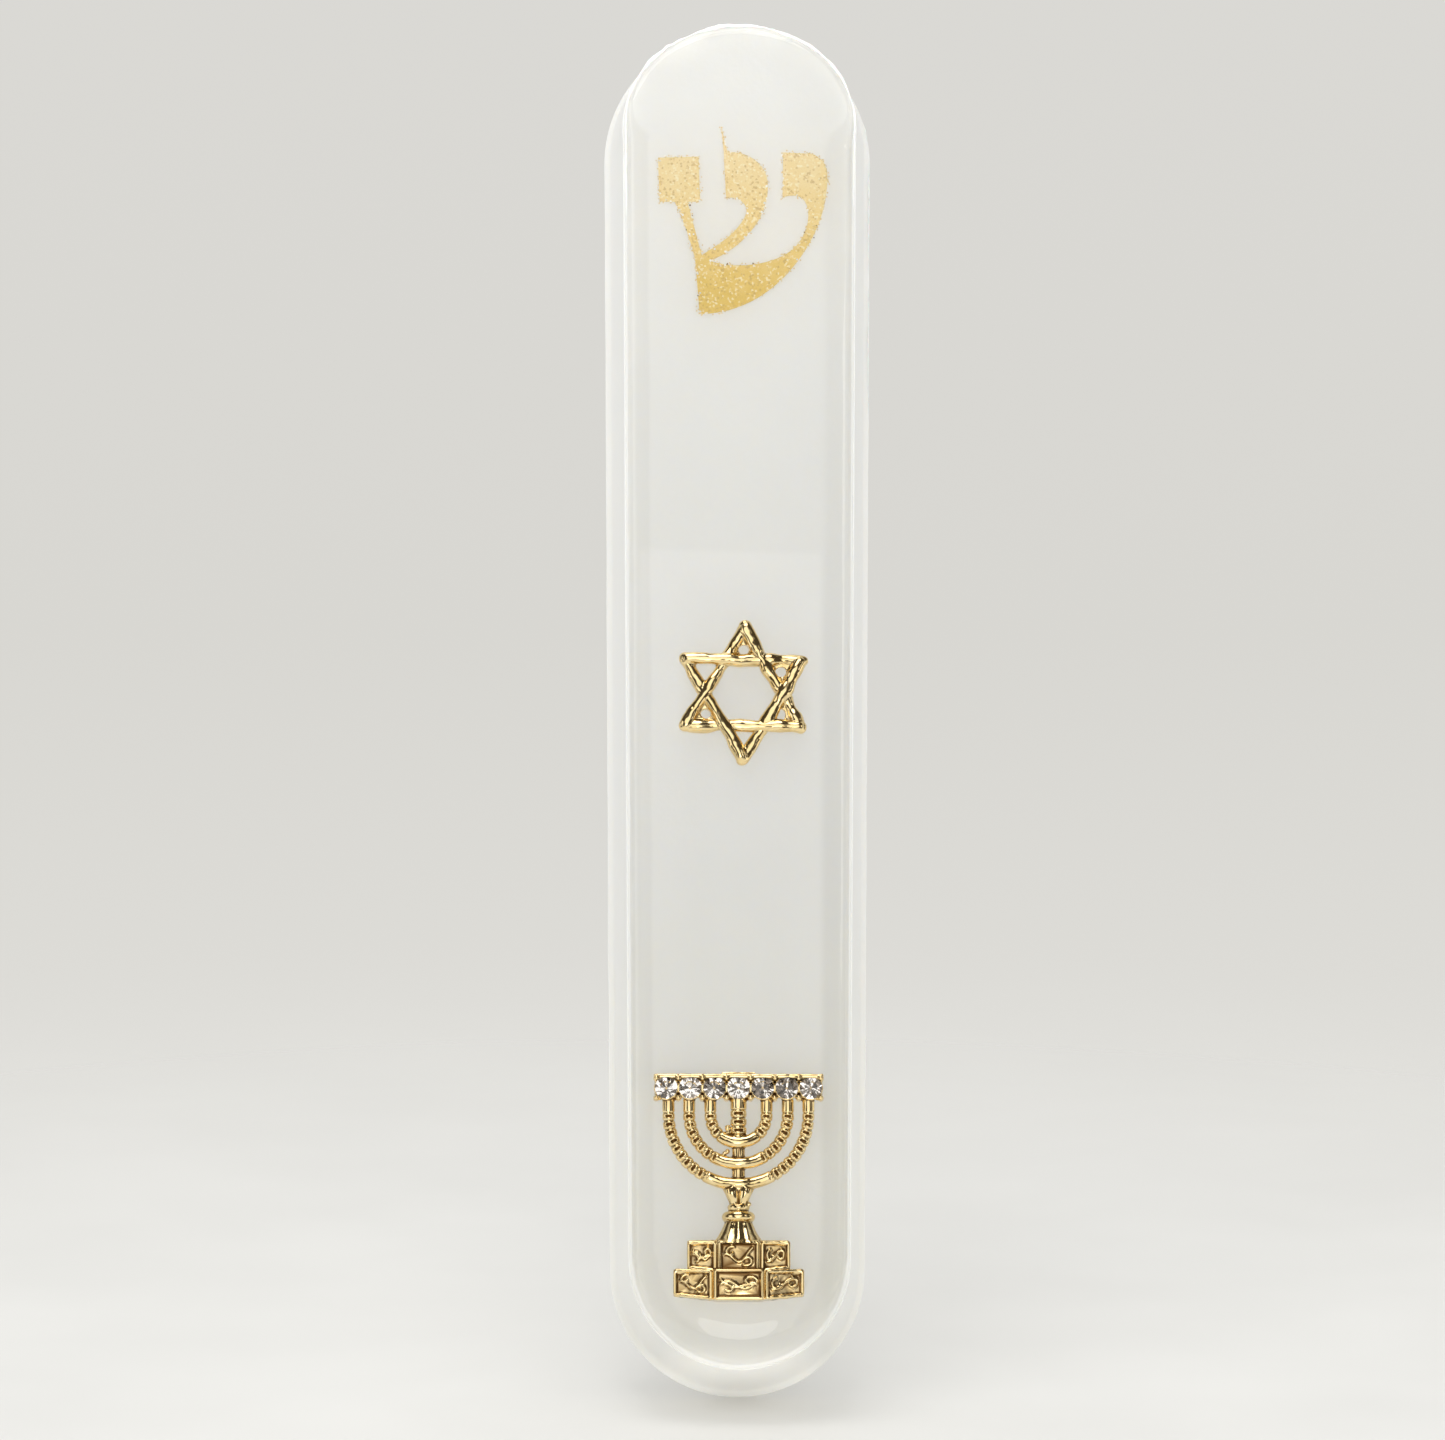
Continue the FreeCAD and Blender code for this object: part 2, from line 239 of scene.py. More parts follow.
def ball(centre, radius, squash=1.0):
    """Closed ball, flattened in depth by squash."""
    rings, sides = 8, 14
    points = [(centre[0], centre[1], centre[2] + radius)]
    for ring in range(1, rings):
        polar = math.pi * ring / rings
        for step in range(sides):
            angle = 2 * math.pi * step / sides
            points.append((
                centre[0] + radius * math.sin(polar) * math.cos(angle),
                centre[1] + radius * squash * math.sin(polar) * math.sin(angle),
                centre[2] + radius * math.cos(polar),
            ))
    points.append((centre[0], centre[1], centre[2] - radius))
    last = len(points) - 1
    faces = [(0, 1 + step, 1 + (step + 1) % sides) for step in range(sides)]
    for ring in range(rings - 2):
        for step in range(sides):
            here = 1 + ring * sides + step
            beside = 1 + ring * sides + (step + 1) % sides
            faces.append((here, here + sides, beside + sides, beside))
    low = 1 + (rings - 2) * sides
    faces += [(last, low + (step + 1) % sides, low + step) for step in range(sides)]
    return points, faces


def vertex_arrays(mesh):
    """Vertex places and normals of a mesh as two arrays."""
    places = np.empty(len(mesh.vertices) * 3, np.float32)
    normals = np.empty(len(mesh.vertices) * 3, np.float32)
    mesh.vertices.foreach_get("co", places)
    mesh.vertex_normals.foreach_get("vector", normals)
    return places.reshape(-1, 3), normals.reshape(-1, 3)


# How far a casting reaches into the coat
CAST_FOOT = 0.05
# A hollow is the gap to a copy of the surface smoothed this often, and this deep it counts fully
HOLLOW_PASSES = 8
HOLLOW_DEPTH = 0.035
HOLLOW_CONTRAST = 1.3
KEPT_TRIANGLES = 0.6


def mark_hollows(mesh, places, normals, most):
    """Stores how deep each vertex lies below its surroundings, 0 to most, as the attribute hollow."""
    ends = np.empty(len(mesh.edges) * 2, np.int32)
    mesh.edges.foreach_get("vertices", ends)
    first, second = ends.reshape(-1, 2).T
    degree = np.bincount(ends, minlength=len(places))
    around = places.astype(float)
    for _ in range(HOLLOW_PASSES):
        for axis in range(3):
            total = np.bincount(first, around[second, axis], len(places))
            total += np.bincount(second, around[first, axis], len(places))
            around[:, axis] = total / degree
    raised = np.einsum("ij,ij->i", around - places, normals)
    hollow = most * np.clip(raised / HOLLOW_DEPTH, 0, 1) ** HOLLOW_CONTRAST
    attribute = mesh.attributes.new("hollow", "FLOAT", "POINT")
    attribute.data.foreach_set("value", hollow.astype(np.float32))


def cast(name, parts, origin, voxel, smoothing, lump_size, lump_height, hollow_darkening):
    """One casting: the parts fused by voxels, smoothed, made uneven and put at its origin."""
    points, faces = [], []
    for part_points, part_faces in parts:
        first = len(points)
        points += part_points
        faces += [tuple(first + corner for corner in face) for face in part_faces]
    rough = make_piece(name + "_rough", points, faces, 0)
    remesh = rough.modifiers.new("fuse", "REMESH")
    remesh.mode = "VOXEL"
    remesh.voxel_size = voxel
    smooth = rough.modifiers.new("smooth", "SMOOTH")
    smooth.factor = 0.5
    smooth.iterations = smoothing
    rough.modifiers.new("thin_out", "DECIMATE").ratio = KEPT_TRIANGLES
    bpy.context.view_layer.update()
    depsgraph = bpy.context.evaluated_depsgraph_get()
    mesh = bpy.data.meshes.new_from_object(rough.evaluated_get(depsgraph), depsgraph=depsgraph)
    mesh.name = name
    bpy.data.objects.remove(rough)
    places, normals = vertex_arrays(mesh)
    spots = [Vector(place) / lump_size for place in places]
    lumps = np.array([noise.noise(spot) + 0.2 * noise.noise(spot * 2.3) for spot in spots])
    places = places + normals * (lumps * lump_height)[:, None]
    places[:, 1] = np.minimum(places[:, 1], CAST_FOOT)
    mark_hollows(mesh, places, normals, hollow_darkening)
    mesh.vertices.foreach_set("co", ((places + np.array(origin)) * MM).astype(np.float32).ravel())
    mesh.shade_smooth()
    piece = bpy.data.objects.new(name, mesh)
    bpy.context.scene.collection.objects.link(piece)
    return piece


# ------------------------------------------------------------ material tools


def material(name, **settings):
    """Principled material, with sockets set by name, as (material, tree, shader)."""
    made = bpy.data.materials.new(name)
    made.use_nodes = True
    shader = made.node_tree.nodes["Principled BSDF"]
    for socket, value in settings.items():
        shader.inputs[socket.replace("_", " ")].default_value = value
    return made, made.node_tree, shader


def add_node(tree, kind, inputs, **settings):
    """Adds a shader node, sets its options, and links or sets its inputs."""
    made = tree.nodes.new("ShaderNode" + kind)
    for option, value in settings.items():
        setattr(made, option, value)
    for socket, value in inputs.items():
        if isinstance(value, bpy.types.NodeSocket):
            tree.links.new(value, made.inputs[socket])
        else:
            made.inputs[socket].default_value = value
    return made


def millimetres(tree):
    """Object coordinates in millimetres."""
    place = add_node(tree, "TexCoord", {})
    scaled = add_node(tree, "VectorMath", {0: place.outputs["Object"]}, operation="SCALE")
    scaled.inputs["Scale"].default_value = 1 / MM
    return scaled.outputs["Vector"]


def mottle(tree, place, size, detail=3.0, rough=0.5):
    """Noise from 0 to 1 whose lumps are about size millimetres across."""
    texture = add_node(tree, "TexNoise", {"Vector": place, "Scale": 1 / size})
    texture.inputs["Detail"].default_value = detail
    texture.inputs["Roughness"].default_value = rough
    return texture.outputs["Fac"]


def stretched(tree, place, factors):
    """Coordinates scaled by their own factor along each axis."""
    made = add_node(tree, "Mapping", {"Vector": place, "Scale": factors})
    return made.outputs["Vector"]


def ramp(tree, factor, *stops):
    """Colour ramp from (place, colour) stops."""
    made = add_node(tree, "ValToRGB", {"Fac": factor})
    elements = made.color_ramp.elements
    while len(elements) < len(stops):
        elements.new(0.5)
    for element, (place, colour) in zip(elements, stops):
        element.position = place
        element.color = (*colour, 1)
    return made.outputs["Color"]


def blend_colours(tree, factor, first, second):
    """Colour mix of two colours or sockets."""
    made = add_node(tree, "Mix", {}, data_type="RGBA")
    for socket, value in (("Factor_Float", factor), ("A_Color", first), ("B_Color", second)):
        target = next(s for s in made.inputs if s.identifier == socket)
        if isinstance(value, bpy.types.NodeSocket):
            tree.links.new(value, target)
        elif socket == "Factor_Float":
            target.default_value = value
        else:
            target.default_value = (*value, 1)
    return next(s for s in made.outputs if s.identifier == "Result_Color")


def do_math(tree, operation, first, second=0.0, third=0.0):
    """Math node over numbers or sockets."""
    inputs = {0: first, 1: second, 2: third}
    return add_node(tree, "Math", inputs, operation=operation).outputs[0]


def soft_step(tree, value, low, high):
    """0 below low and 1 above high, smooth between; the other way round if low is above high."""
    made = add_node(
        tree,
        "MapRange",
        {"Value": value, "From Min": low, "From Max": high},
        interpolation_type="SMOOTHSTEP",
    )
    return made.outputs["Result"]


def band(tree, value, low, low_full, high_full, high):
    """1 from low_full to high_full and 0 outside low and high, smooth between."""
    entering = soft_step(tree, value, low, low_full)
    leaving = soft_step(tree, value, high, high_full)
    return do_math(tree, "MULTIPLY", entering, leaving)


def add_bump(tree, shader, height, depth, strength=1.0):
    """Bump of depth millimetres on a shader."""
    bump = add_node(tree, "Bump", {"Height": height, "Strength": strength, "Distance": depth * MM})
    tree.links.new(bump.outputs["Normal"], shader.inputs["Normal"])


def split(tree, vector):
    """The x, y and z sockets of a vector."""
    made = add_node(tree, "SeparateXYZ", {0: vector})
    return made.outputs["X"], made.outputs["Y"], made.outputs["Z"]


def between(tree, share, low, high):
    """Value from low to high as a share goes from 0 to 1."""
    made = add_node(tree, "MapRange", {"Value": share, "To Min": low, "To Max": high})
    return made.outputs["Result"]


def drive(tree, shader, socket, value):
    """Links a colour or value to a shader's socket."""
    tree.links.new(value, shader.inputs[socket])


def let_light_through(made, tree, shader):
    """Makes a clear material cast no dark shadow."""
    path = add_node(tree, "LightPath", {})
    clear = add_node(tree, "BsdfTransparent", {"Color": (1, 1, 1, 1)})
    mix = add_node(tree, "MixShader", {0: path.outputs["Is Shadow Ray"]})
    tree.links.new(shader.outputs[0], mix.inputs[1])
    tree.links.new(clear.outputs[0], mix.inputs[2])
    output = next(n for n in tree.nodes if n.type == "OUTPUT_MATERIAL")
    tree.links.new(mix.outputs[0], output.inputs["Surface"])
    return made


# ----------------------------------------------------------------- materials

MILKY = (0.835, 0.84, 0.83)
CREAM = (0.872, 0.87, 0.825)
# Left, right, bottom and top of the compartment and its channel, painted on the face as light showing
# through it
RECESS_WINDOW = (-9.0, 7.3, -60.0, 12.8)
CHANNEL_WINDOW = (-5.2, 4.6, -60.0, 10.6)


def window_mask(tree, across, up, window, softness):
    """1 inside a soft-edged rectangle (left, right, bottom, top) of the case's face."""
    left, right, bottom, top = window
    inside = [
        band(tree, value, low - softness, low + softness, high - softness, high + softness)
        for value, low, high in ((across, left, right), (up, bottom, top))
    ]
    return do_math(tree, "MULTIPLY", *inside)


# Painted glow: emission strength that lightens the foot
PAINTED_FOOT_GLOW = 0.09


def milky_resin():
    """Cloudy cream resin with a few specks; painted light over the compartment and at the foot, where it
    also has a painted emission glow, and painted shade on its side walls.
    """
    made, tree, shader = material(
        "milky_resin",
        Roughness=0.28,
        IOR=1.5,
        Subsurface_Weight=1.0,
        Subsurface_Radius=(1.0, 0.95, 0.85),
        Subsurface_Scale=1.2 * MM,
        Emission_Color=(1.0, 0.96, 0.86, 1),
    )
    place = millimetres(tree)
    x, y, z = split(tree, place)
    up = do_math(tree, "SUBTRACT", z, MIDDLE_Z)
    lean = do_math(tree, "MULTIPLY_ADD", x, 0.022, up)
    cloud = mottle(tree, place, 14.0, 4.0)
    low = soft_step(tree, up, -12.0, -42.0)
    cloudy = do_math(tree, "MULTIPLY_ADD", cloud, 0.5, do_math(tree, "MULTIPLY", low, 0.75))
    colour = blend_colours(tree, do_math(tree, "SUBTRACT", cloudy, 0.12), MILKY, CREAM)
    # Painted light: the face is lighter over the compartment and less so over its channel
    window = window_mask(tree, x, lean, RECESS_WINDOW, 0.35)
    channel = window_mask(tree, x, lean, CHANNEL_WINDOW, 1.6)
    glow = do_math(tree, "MULTIPLY", window, 0.20)
    glow = do_math(tree, "SUBTRACT", glow, do_math(tree, "MULTIPLY", channel, 0.07))
    colour = blend_colours(tree, glow, colour, (1.0, 1.0, 0.98))
    specks = add_node(tree, "TexVoronoi", {"Vector": place, "Scale": 0.16})
    speck = soft_step(tree, specks.outputs["Distance"], 0.022, 0.010)
    colour = blend_colours(tree, do_math(tree, "MULTIPLY", speck, 0.25), colour, (1, 1, 1))
    # Painted light: the foot is lightened in colour and glows by emission
    foot = soft_step(tree, up, -58.5, -61.5)
    colour = blend_colours(tree, do_math(tree, "MULTIPLY", foot, 0.7), colour, (0.97, 0.955, 0.92))
    # Painted shade: surfaces that face sideways are darkened in colour
    facing = split(tree, add_node(tree, "NewGeometry", {}).outputs["Normal"])[0]
    wall = soft_step(tree, do_math(tree, "ABSOLUTE", facing), 0.3, 0.8)
    colour = blend_colours(tree, do_math(tree, "MULTIPLY", wall, 0.5), colour, (0.74, 0.735, 0.71))
    drive(tree, shader, "Base Color", colour)
    drive(tree, shader, "Emission Strength", do_math(tree, "MULTIPLY", foot, PAINTED_FOOT_GLOW))
    drive(tree, shader, "Roughness", between(tree, cloud, 0.28, 0.38))
    waves = do_math(tree, "ADD", mottle(tree, place, 3.0, 2.0), mottle(tree, place, 0.5, 2.0))
    add_bump(tree, shader, waves, 0.03, 0.5)
    return made


def clear_resin():
    """Clear pour with slow waves in its face."""
    made, tree, shader = material(
        "clear_resin", IOR=1.47, Roughness=0.0, Transmission_Weight=1.0, Base_Color=(1.0, 1.0, 0.99, 1)
    )
    place = millimetres(tree)
    tint = ramp(
        tree, mottle(tree, place, 8.0, 2.0), (0.3, (0.99, 0.99, 0.975)), (0.7, (1.0, 1.0, 0.995))
    )
    drive(tree, shader, "Base Color", tint)
    add_bump(tree, shader, mottle(tree, place, 7.0, 1.0), 0.04, 0.35)
    return let_light_through(made, tree, shader)


def rim_flash_and_highlight():
    """Whitened flash along the rim, made pale enough to act as a painted highlight too."""
    made, tree, shader = material("rim_flash_and_highlight", IOR=1.5, Subsurface_Weight=0.3, Subsurface_Scale=0.3 * MM)
    place = millimetres(tree)
    cloud = mottle(tree, place, 0.6, 4.0)
    colour = ramp(tree, cloud, (0.3, (0.78, 0.78, 0.76)), (0.7, (0.92, 0.92, 0.90)))
    drive(tree, shader, "Base Color", colour)
    drive(tree, shader, "Roughness", between(tree, cloud, 0.2, 0.45))
    add_bump(tree, shader, cloud, 0.05, 0.6)
    return made


def glitter_foil():
    """Glitter that turns from pale to deep gold down the letter, with bright and dark grains."""
    made, tree, shader = material("glitter_foil", Roughness=0.5)
    place = millimetres(tree)
    z = split(tree, place)[2]
    up = do_math(tree, "SUBTRACT", z, MIDDLE_Z)
    fall = soft_step(tree, up, 50.5, 34.5)
    cloud = mottle(tree, place, 1.4, 3.0)
    share = do_math(tree, "MULTIPLY_ADD", do_math(tree, "SUBTRACT", cloud, 0.5), 0.5, fall)
    colour = ramp(
        tree,
        share,
        (0.0, (0.90, 0.73, 0.39)),
        (0.6, (0.86, 0.65, 0.24)),
        (1.0, (0.78, 0.55, 0.11)),
    )
    cells = add_node(tree, "TexVoronoi", {"Vector": place, "Scale": 6.0})
    grain = split(tree, cells.outputs["Color"])[0]
    bright = soft_step(tree, grain, 0.80, 0.95)
    dark = soft_step(tree, grain, 0.16, 0.02)
    colour = blend_colours(tree, do_math(tree, "MULTIPLY", bright, 0.5), colour, (1, 0.95, 0.75))
    colour = blend_colours(tree, do_math(tree, "MULTIPLY", dark, 0.45), colour, (0.5, 0.3, 0.08))
    drive(tree, shader, "Base Color", colour)
    drive(tree, shader, "Metallic", do_math(tree, "MULTIPLY", bright, 0.3))
    add_bump(tree, shader, grain, 0.03, 0.6)
    return made


def gold_plate():
    """Polished gold, dark and dull where the casting's hollows are."""
    made, tree, shader = material("gold_plate", Metallic=1.0, Roughness=0.14)
    place = millimetres(tree)
    cloud = mottle(tree, place, 0.9, 4.0)
    colour = ramp(tree, cloud, (0.25, (0.89, 0.65, 0.29)), (0.75, (0.97, 0.79, 0.45)))
    hollow = add_node(tree, "Attribute", {}, attribute_name="hollow").outputs["Fac"]
    colour = blend_colours(tree, do_math(tree, "MULTIPLY", hollow, 0.95), colour, (0.12, 0.05, 0.010))
    drive(tree, shader, "Base Color", colour)
    worn = do_math(tree, "MULTIPLY_ADD", hollow, 0.25, between(tree, cloud, 0.05, 0.14))
    drive(tree, shader, "Roughness", worn)
    add_bump(tree, shader, mottle(tree, place, 1.2, 1.0), 0.04, 0.5)
    return made


def crystal_crown():
    """Clear upper part of a stone."""
    made, tree, shader = material(
        "crystal_crown", IOR=1.62, Transmission_Weight=1.0, Base_Color=(1.0, 0.995, 0.985, 1)
    )
    place = millimetres(tree)
    wear = mottle(tree, place, 0.3, 2.0)
    drive(tree, shader, "Roughness", between(tree, wear, 0.0, 0.03))
    return let_light_through(made, tree, shader)


def crystal_foil(name, dim, bright):
    """Mirror behind a stone, between two tints."""
    made, tree, shader = material(name, Metallic=1.0, Roughness=0.05)
    tint = mottle(tree, millimetres(tree), 0.6, 2.0)
    drive(tree, shader, "Base Color", ramp(tree, tint, (0.35, dim), (0.65, bright)))
    return made


def cover_resin():
    """Smooth moulded resin with fine scratches along the cover."""
    made, tree, shader = material(
        "cover_resin", Roughness=0.35, Subsurface_Weight=0.2, Subsurface_Scale=0.6 * MM
    )
    place = millimetres(tree)
    cloud = mottle(tree, place, 9.0, 4.0)
    colour = ramp(tree, cloud, (0.3, (0.78, 0.775, 0.74)), (0.7, (0.84, 0.835, 0.80)))
    drive(tree, shader, "Base Color", colour)
    scratches = mottle(tree, stretched(tree, place, (0.15, 1.0, 2.2)), 0.5, 3.0)
    drive(tree, shader, "Roughness", between(tree, scratches, 0.26, 0.46))
    add_bump(tree, shader, mottle(tree, place, 0.25, 3.0), 0.02, 0.5)
    return made


def parchment():
    """Matt blotched skin with fibres along the roll."""
    made, tree, shader = material(
        "parchment", Roughness=0.75, Subsurface_Weight=0.15, Subsurface_Scale=0.4 * MM
    )
    place = millimetres(tree)
    blotch = mottle(tree, place, 6.0, 5.0, 0.6)
    fibre = mottle(tree, stretched(tree, place, (3.0, 3.0, 0.5)), 0.5, 4.0)
    share = do_math(tree, "MULTIPLY_ADD", fibre, 0.3, do_math(tree, "MULTIPLY", blotch, 0.7))
    colour = ramp(
        tree, share, (0.3, (0.66, 0.55, 0.36)), (0.5, (0.76, 0.67, 0.47)), (0.7, (0.82, 0.75, 0.57))
    )
    drive(tree, shader, "Base Color", colour)
    add_bump(tree, shader, fibre, 0.04, 0.8)
    return made


def film():
    """Clear creased film."""
    made, tree, shader = material(
        "film", IOR=1.45, Transmission_Weight=1.0, Base_Color=(0.98, 0.99, 0.99, 1)
    )
    place = millimetres(tree)
    crease = mottle(tree, place, 2.0, 3.0)
    drive(tree, shader, "Roughness", between(tree, crease, 0.02, 0.10))
    add_bump(tree, shader, crease, 0.05, 0.5)
    return let_light_through(made, tree, shader)


def foam_tape():
    """White closed-cell foam with pores."""
    made, tree, shader = material(
        "foam_tape", Roughness=0.6, Subsurface_Weight=0.2, Subsurface_Scale=0.3 * MM
    )
    place = millimetres(tree)
    cells = add_node(tree, "TexVoronoi", {"Vector": place, "Scale": 4.0})
    pores = soft_step(tree, cells.outputs["Distance"], 0.45, 0.15)
    cloud = mottle(tree, place, 2.5, 4.0)
    colour = ramp(tree, cloud, (0.3, (0.76, 0.76, 0.73)), (0.7, (0.86, 0.86, 0.84)))
    colour = blend_colours(tree, do_math(tree, "MULTIPLY", pores, 0.18), colour, (0.5, 0.5, 0.47))
    drive(tree, shader, "Base Color", colour)
    drive(tree, shader, "Roughness", between(tree, cloud, 0.35, 0.7))
    add_bump(tree, shader, do_math(tree, "SUBTRACT", cloud, pores), 0.05, 0.8)
    return made


# ---------------------------------------------------------- case and coat

ARC_STEPS = 120
SIDE_STEPS = 110


def case_stations():
    """Places round the case: an arc centre's height, a radius and an outward direction each."""
    top_z = HALF_HEIGHT - TOP_RADIUS
    low_z = BOTTOM_RADIUS - HALF_HEIGHT
    lean = math.asin((TOP_RADIUS - BOTTOM_RADIUS) / (top_z - low_z))
    stations = []

    def add_arc(centre_z, radius, start, end):
        """Adds places round an end of the case."""
        for step in range(ARC_STEPS):
            angle = start + (end - start) * step / ARC_STEPS
            stations.append((centre_z, radius, math.cos(angle), math.sin(angle)))

    def add_side(first_z, first_radius, last_z, last_radius, angle):
        """Adds places along a straight side."""
        for step in range(SIDE_STEPS):
            share = step / SIDE_STEPS
            centre_z = first_z + (last_z - first_z) * share
            radius = first_radius + (last_radius - first_radius) * share
            stations.append((centre_z, radius, math.cos(angle), math.sin(angle)))

    add_arc(top_z, TOP_RADIUS, -lean, math.pi + lean)
    add_side(top_z, TOP_RADIUS, low_z, BOTTOM_RADIUS, math.pi + lean)
    add_arc(low_z, BOTTOM_RADIUS, math.pi + lean, 2 * math.pi - lean)
    add_side(low_z, BOTTOM_RADIUS, top_z, TOP_RADIUS, -lean)
    return stations


STATIONS = case_stations()


def station_point(station, inset, y):
    """Point of the case's outline at an inset; towards the front its top gets square shoulders."""
    centre_z, radius, right, up = station
    shoulder = SHOULDER * inset / FRONT_INSET * abs(right) ** 3 * max(0.0, up)
    reach = radius - inset + min(shoulder, 0.5)
    return Vector((right * reach, y, centre_z + up * reach))


def case_ring(inset, y, waviness=0.0, sideways=0.0):
    """Ring round the case at an inset, pulled in unevenly by up to waviness."""
    ring = []
    for station in STATIONS:
        point = station_point(station, inset, y)
        wave = 0.5 + 0.5 * noise.noise(Vector((point.x / 6, y / 6 + 7, point.z / 6)))
        fine = 0.5 + 0.5 * noise.noise(Vector((point.x / 3, y / 3 + 3, point.z / 3)))
        pull = waviness * (0.75 * wave + 0.25 * fine)
        place = station_point(station, inset + pull, y)
        place.y += sideways * (wave - 0.5)
        ring.append(place)
    return ring


def rounded_ring(width, height, corner, y, middle_z, steps=10):
    """Ring of a rounded rectangle, counterclockwise seen from the front."""
    ring = []
    for quarter, (side_x, side_z) in enumerate(((1, 1), (-1, 1), (-1, -1), (1, -1))):
        centre_x = side_x * (width / 2 - corner)
        centre_z = middle_z + side_z * (height / 2 - corner)
        for step in range(steps + 1):
            angle = math.pi / 2 * (quarter + step / steps)
            ring.append((centre_x + corner * math.cos(angle), y, centre_z + corner * math.sin(angle)))
    return ring


# Rings of the body's back edge: how far in front of the back, and how far inside the outline
LIP_PROFILE = (
    (0.0, 0.32),
    (0.1, 0.1),
    (0.32, 0.0),
    (0.6, 0.04),
    (1.1, 0.38),
    (1.5, 0.55),
    (2.3, 0.68),
)
WALL_STEPS = 12
EDGE_ROUND = 0.25
FRONT_ROUND = 0.9
# Room round the cover, and round the sleeved scroll: across, along and in front of it
COVER_ROOM = 0.3
CHANNEL_ROOM = (2.4, 2.2, 0.3)


def outer_rings():
    """Rings of the case from its back to its rounded front edge."""
    rings = [case_ring(inset, BACK_Y - rise, 0.10) for rise, inset in LIP_PROFILE]
    start_rise, start_inset = LIP_PROFILE[-1]
    depth = BACK_Y - BODY_FRONT_Y
    end_inset = FRONT_INSET * depth / (BACK_Y - FRONT_Y)
    for step in range(1, WALL_STEPS):
        share = step / WALL_STEPS
        rise = start_rise + (depth - start_rise) * share
        inset = start_inset + (end_inset - start_inset) * share
        rings.append(case_ring(inset, BACK_Y - rise, 0.12 * (1 - share)))
    for turn in range(0, 91, 15):
        forward = FRONT_ROUND * (1 - math.sin(math.radians(turn)))
        inward = FRONT_ROUND * (1 - math.cos(math.radians(turn)))
        rings.append(case_ring(end_inset + inward, BODY_FRONT_Y + forward))
    rings[0] = [Vector((point.x, BACK_Y, point.z)) for point in rings[0]]
    return rings


def hollow_rings(width, height, middle_z, profile):
    """Rings down a rounded hollow, from (growth, corner radius, y) rows."""
    return [
        rounded_ring(width + growth, height + growth, corner, y, middle_z)
        for growth, corner, y in profile
    ]


def case_body():
    """Milky shell with the compartment in its back."""
    shell = Shell()
    back, front = shell.add_walls(outer_rings())
    shell.add_cap(front)
    cover_low, cover_high = box_mm("rear_cover")
    middle_z = (cover_low.z + cover_high.z) / 2 - MIDDLE_Z
    width = cover_high.x - cover_low.x + COVER_ROOM
    height = cover_high.z - cover_low.z + COVER_ROOM
    floor_y = cover_low.y
    mouth, ledge = shell.add_walls(hollow_rings(width, height, middle_z, (
        (2 * EDGE_ROUND, 1.75, BACK_Y),
        (0.15, 1.55, BACK_Y - 0.07),
        (0.0, 1.5, BACK_Y - EDGE_ROUND),
        (0.0, 1.5, floor_y + 0.1),
        (-0.2, 1.4, floor_y),
    )))
    sleeve_low, sleeve_high = box_mm("scroll_sleeve")
    width = sleeve_high.x - sleeve_low.x + CHANNEL_ROOM[0]
    height = sleeve_high.z - sleeve_low.z + CHANNEL_ROOM[1]
    channel_y = sleeve_low.y - CHANNEL_ROOM[2]
    rim, bottom = shell.add_walls(hollow_rings(width, height, middle_z, (
        (0.4, 2.7, floor_y),
        (0.1, 2.55, floor_y - 0.07),
        (0.0, 2.5, floor_y - 0.25),
        (0.0, 2.5, channel_y + 0.5),
        (-0.3, 2.35, channel_y + 0.1),
        (-0.9, 2.05, channel_y),
    )))
    shell.add_cap(back, mouth)
    shell.add_cap(ledge, rim)
    shell.add_cap(bottom)
    piece = closed_piece("milky_shell", in_row_frame(shell.points), shell.faces, 50, milky_resin())
    install(piece, "case", "milky_resin", "case_body")


# Rings of the coat: how far behind its front face, and how far inside the front's outline
COAT_PROFILE = (
    (1.25, -0.09),
    (1.0, -0.13),
    (0.7, -0.09),
    (0.42, -0.01),
    (0.2, 0.13),
    (0.06, 0.33),
    (0.0, 0.6),
    (0.03, 1.0),
    (0.10, 1.65),
    (0.13, 2.65),
    (0.14, 3.85),
    (0.14, 5.25),
    (0.14, 6.65),
    (0.14, 8.05),
    (0.14, 9.0),
)
# The rings with these numbers are wavy, and the ones after them lie a little unevenly
WAVY_RINGS = range(1, 7)
# The coat's plain edge: how wide it slopes, where it starts, and the lip sunk into the body
MENISCUS_WIDTH = 3.9
MENISCUS_START = 0.1
LIP_WIDTH = 0.35
LIP_SINK = 0.25


def coat_ring(behind, inset, waviness, sideways):
    """Ring of the coat: a swollen rim round the top that fades to a plain edge down the sides."""
    swollen = case_ring(FRONT_INSET + inset, FRONT_Y + behind, waviness, sideways)
    edge_behind, face_behind = COAT_PROFILE[0][0], COAT_PROFILE[-1][0]
    plain_inset = max(inset, 0.05 * (edge_behind - behind))
    slope = max(0.0, 1 - plain_inset / MENISCUS_WIDTH) ** 2
    sunk = LIP_SINK * max(0.0, 1 - plain_inset / LIP_WIDTH)
    plain_behind = face_behind + (edge_behind - face_behind) * slope + sunk
    start = FRONT_INSET + MENISCUS_START
    plain = case_ring(start + plain_inset, FRONT_Y + plain_behind, 0.0, sideways)
    ring = []
    for station, low, high in zip(STATIONS, plain, swollen):
        share = min(1.0, max(0.0, (station[3] + 0.05) / 0.35))
        ring.append(low.lerp(high, share))
    return ring


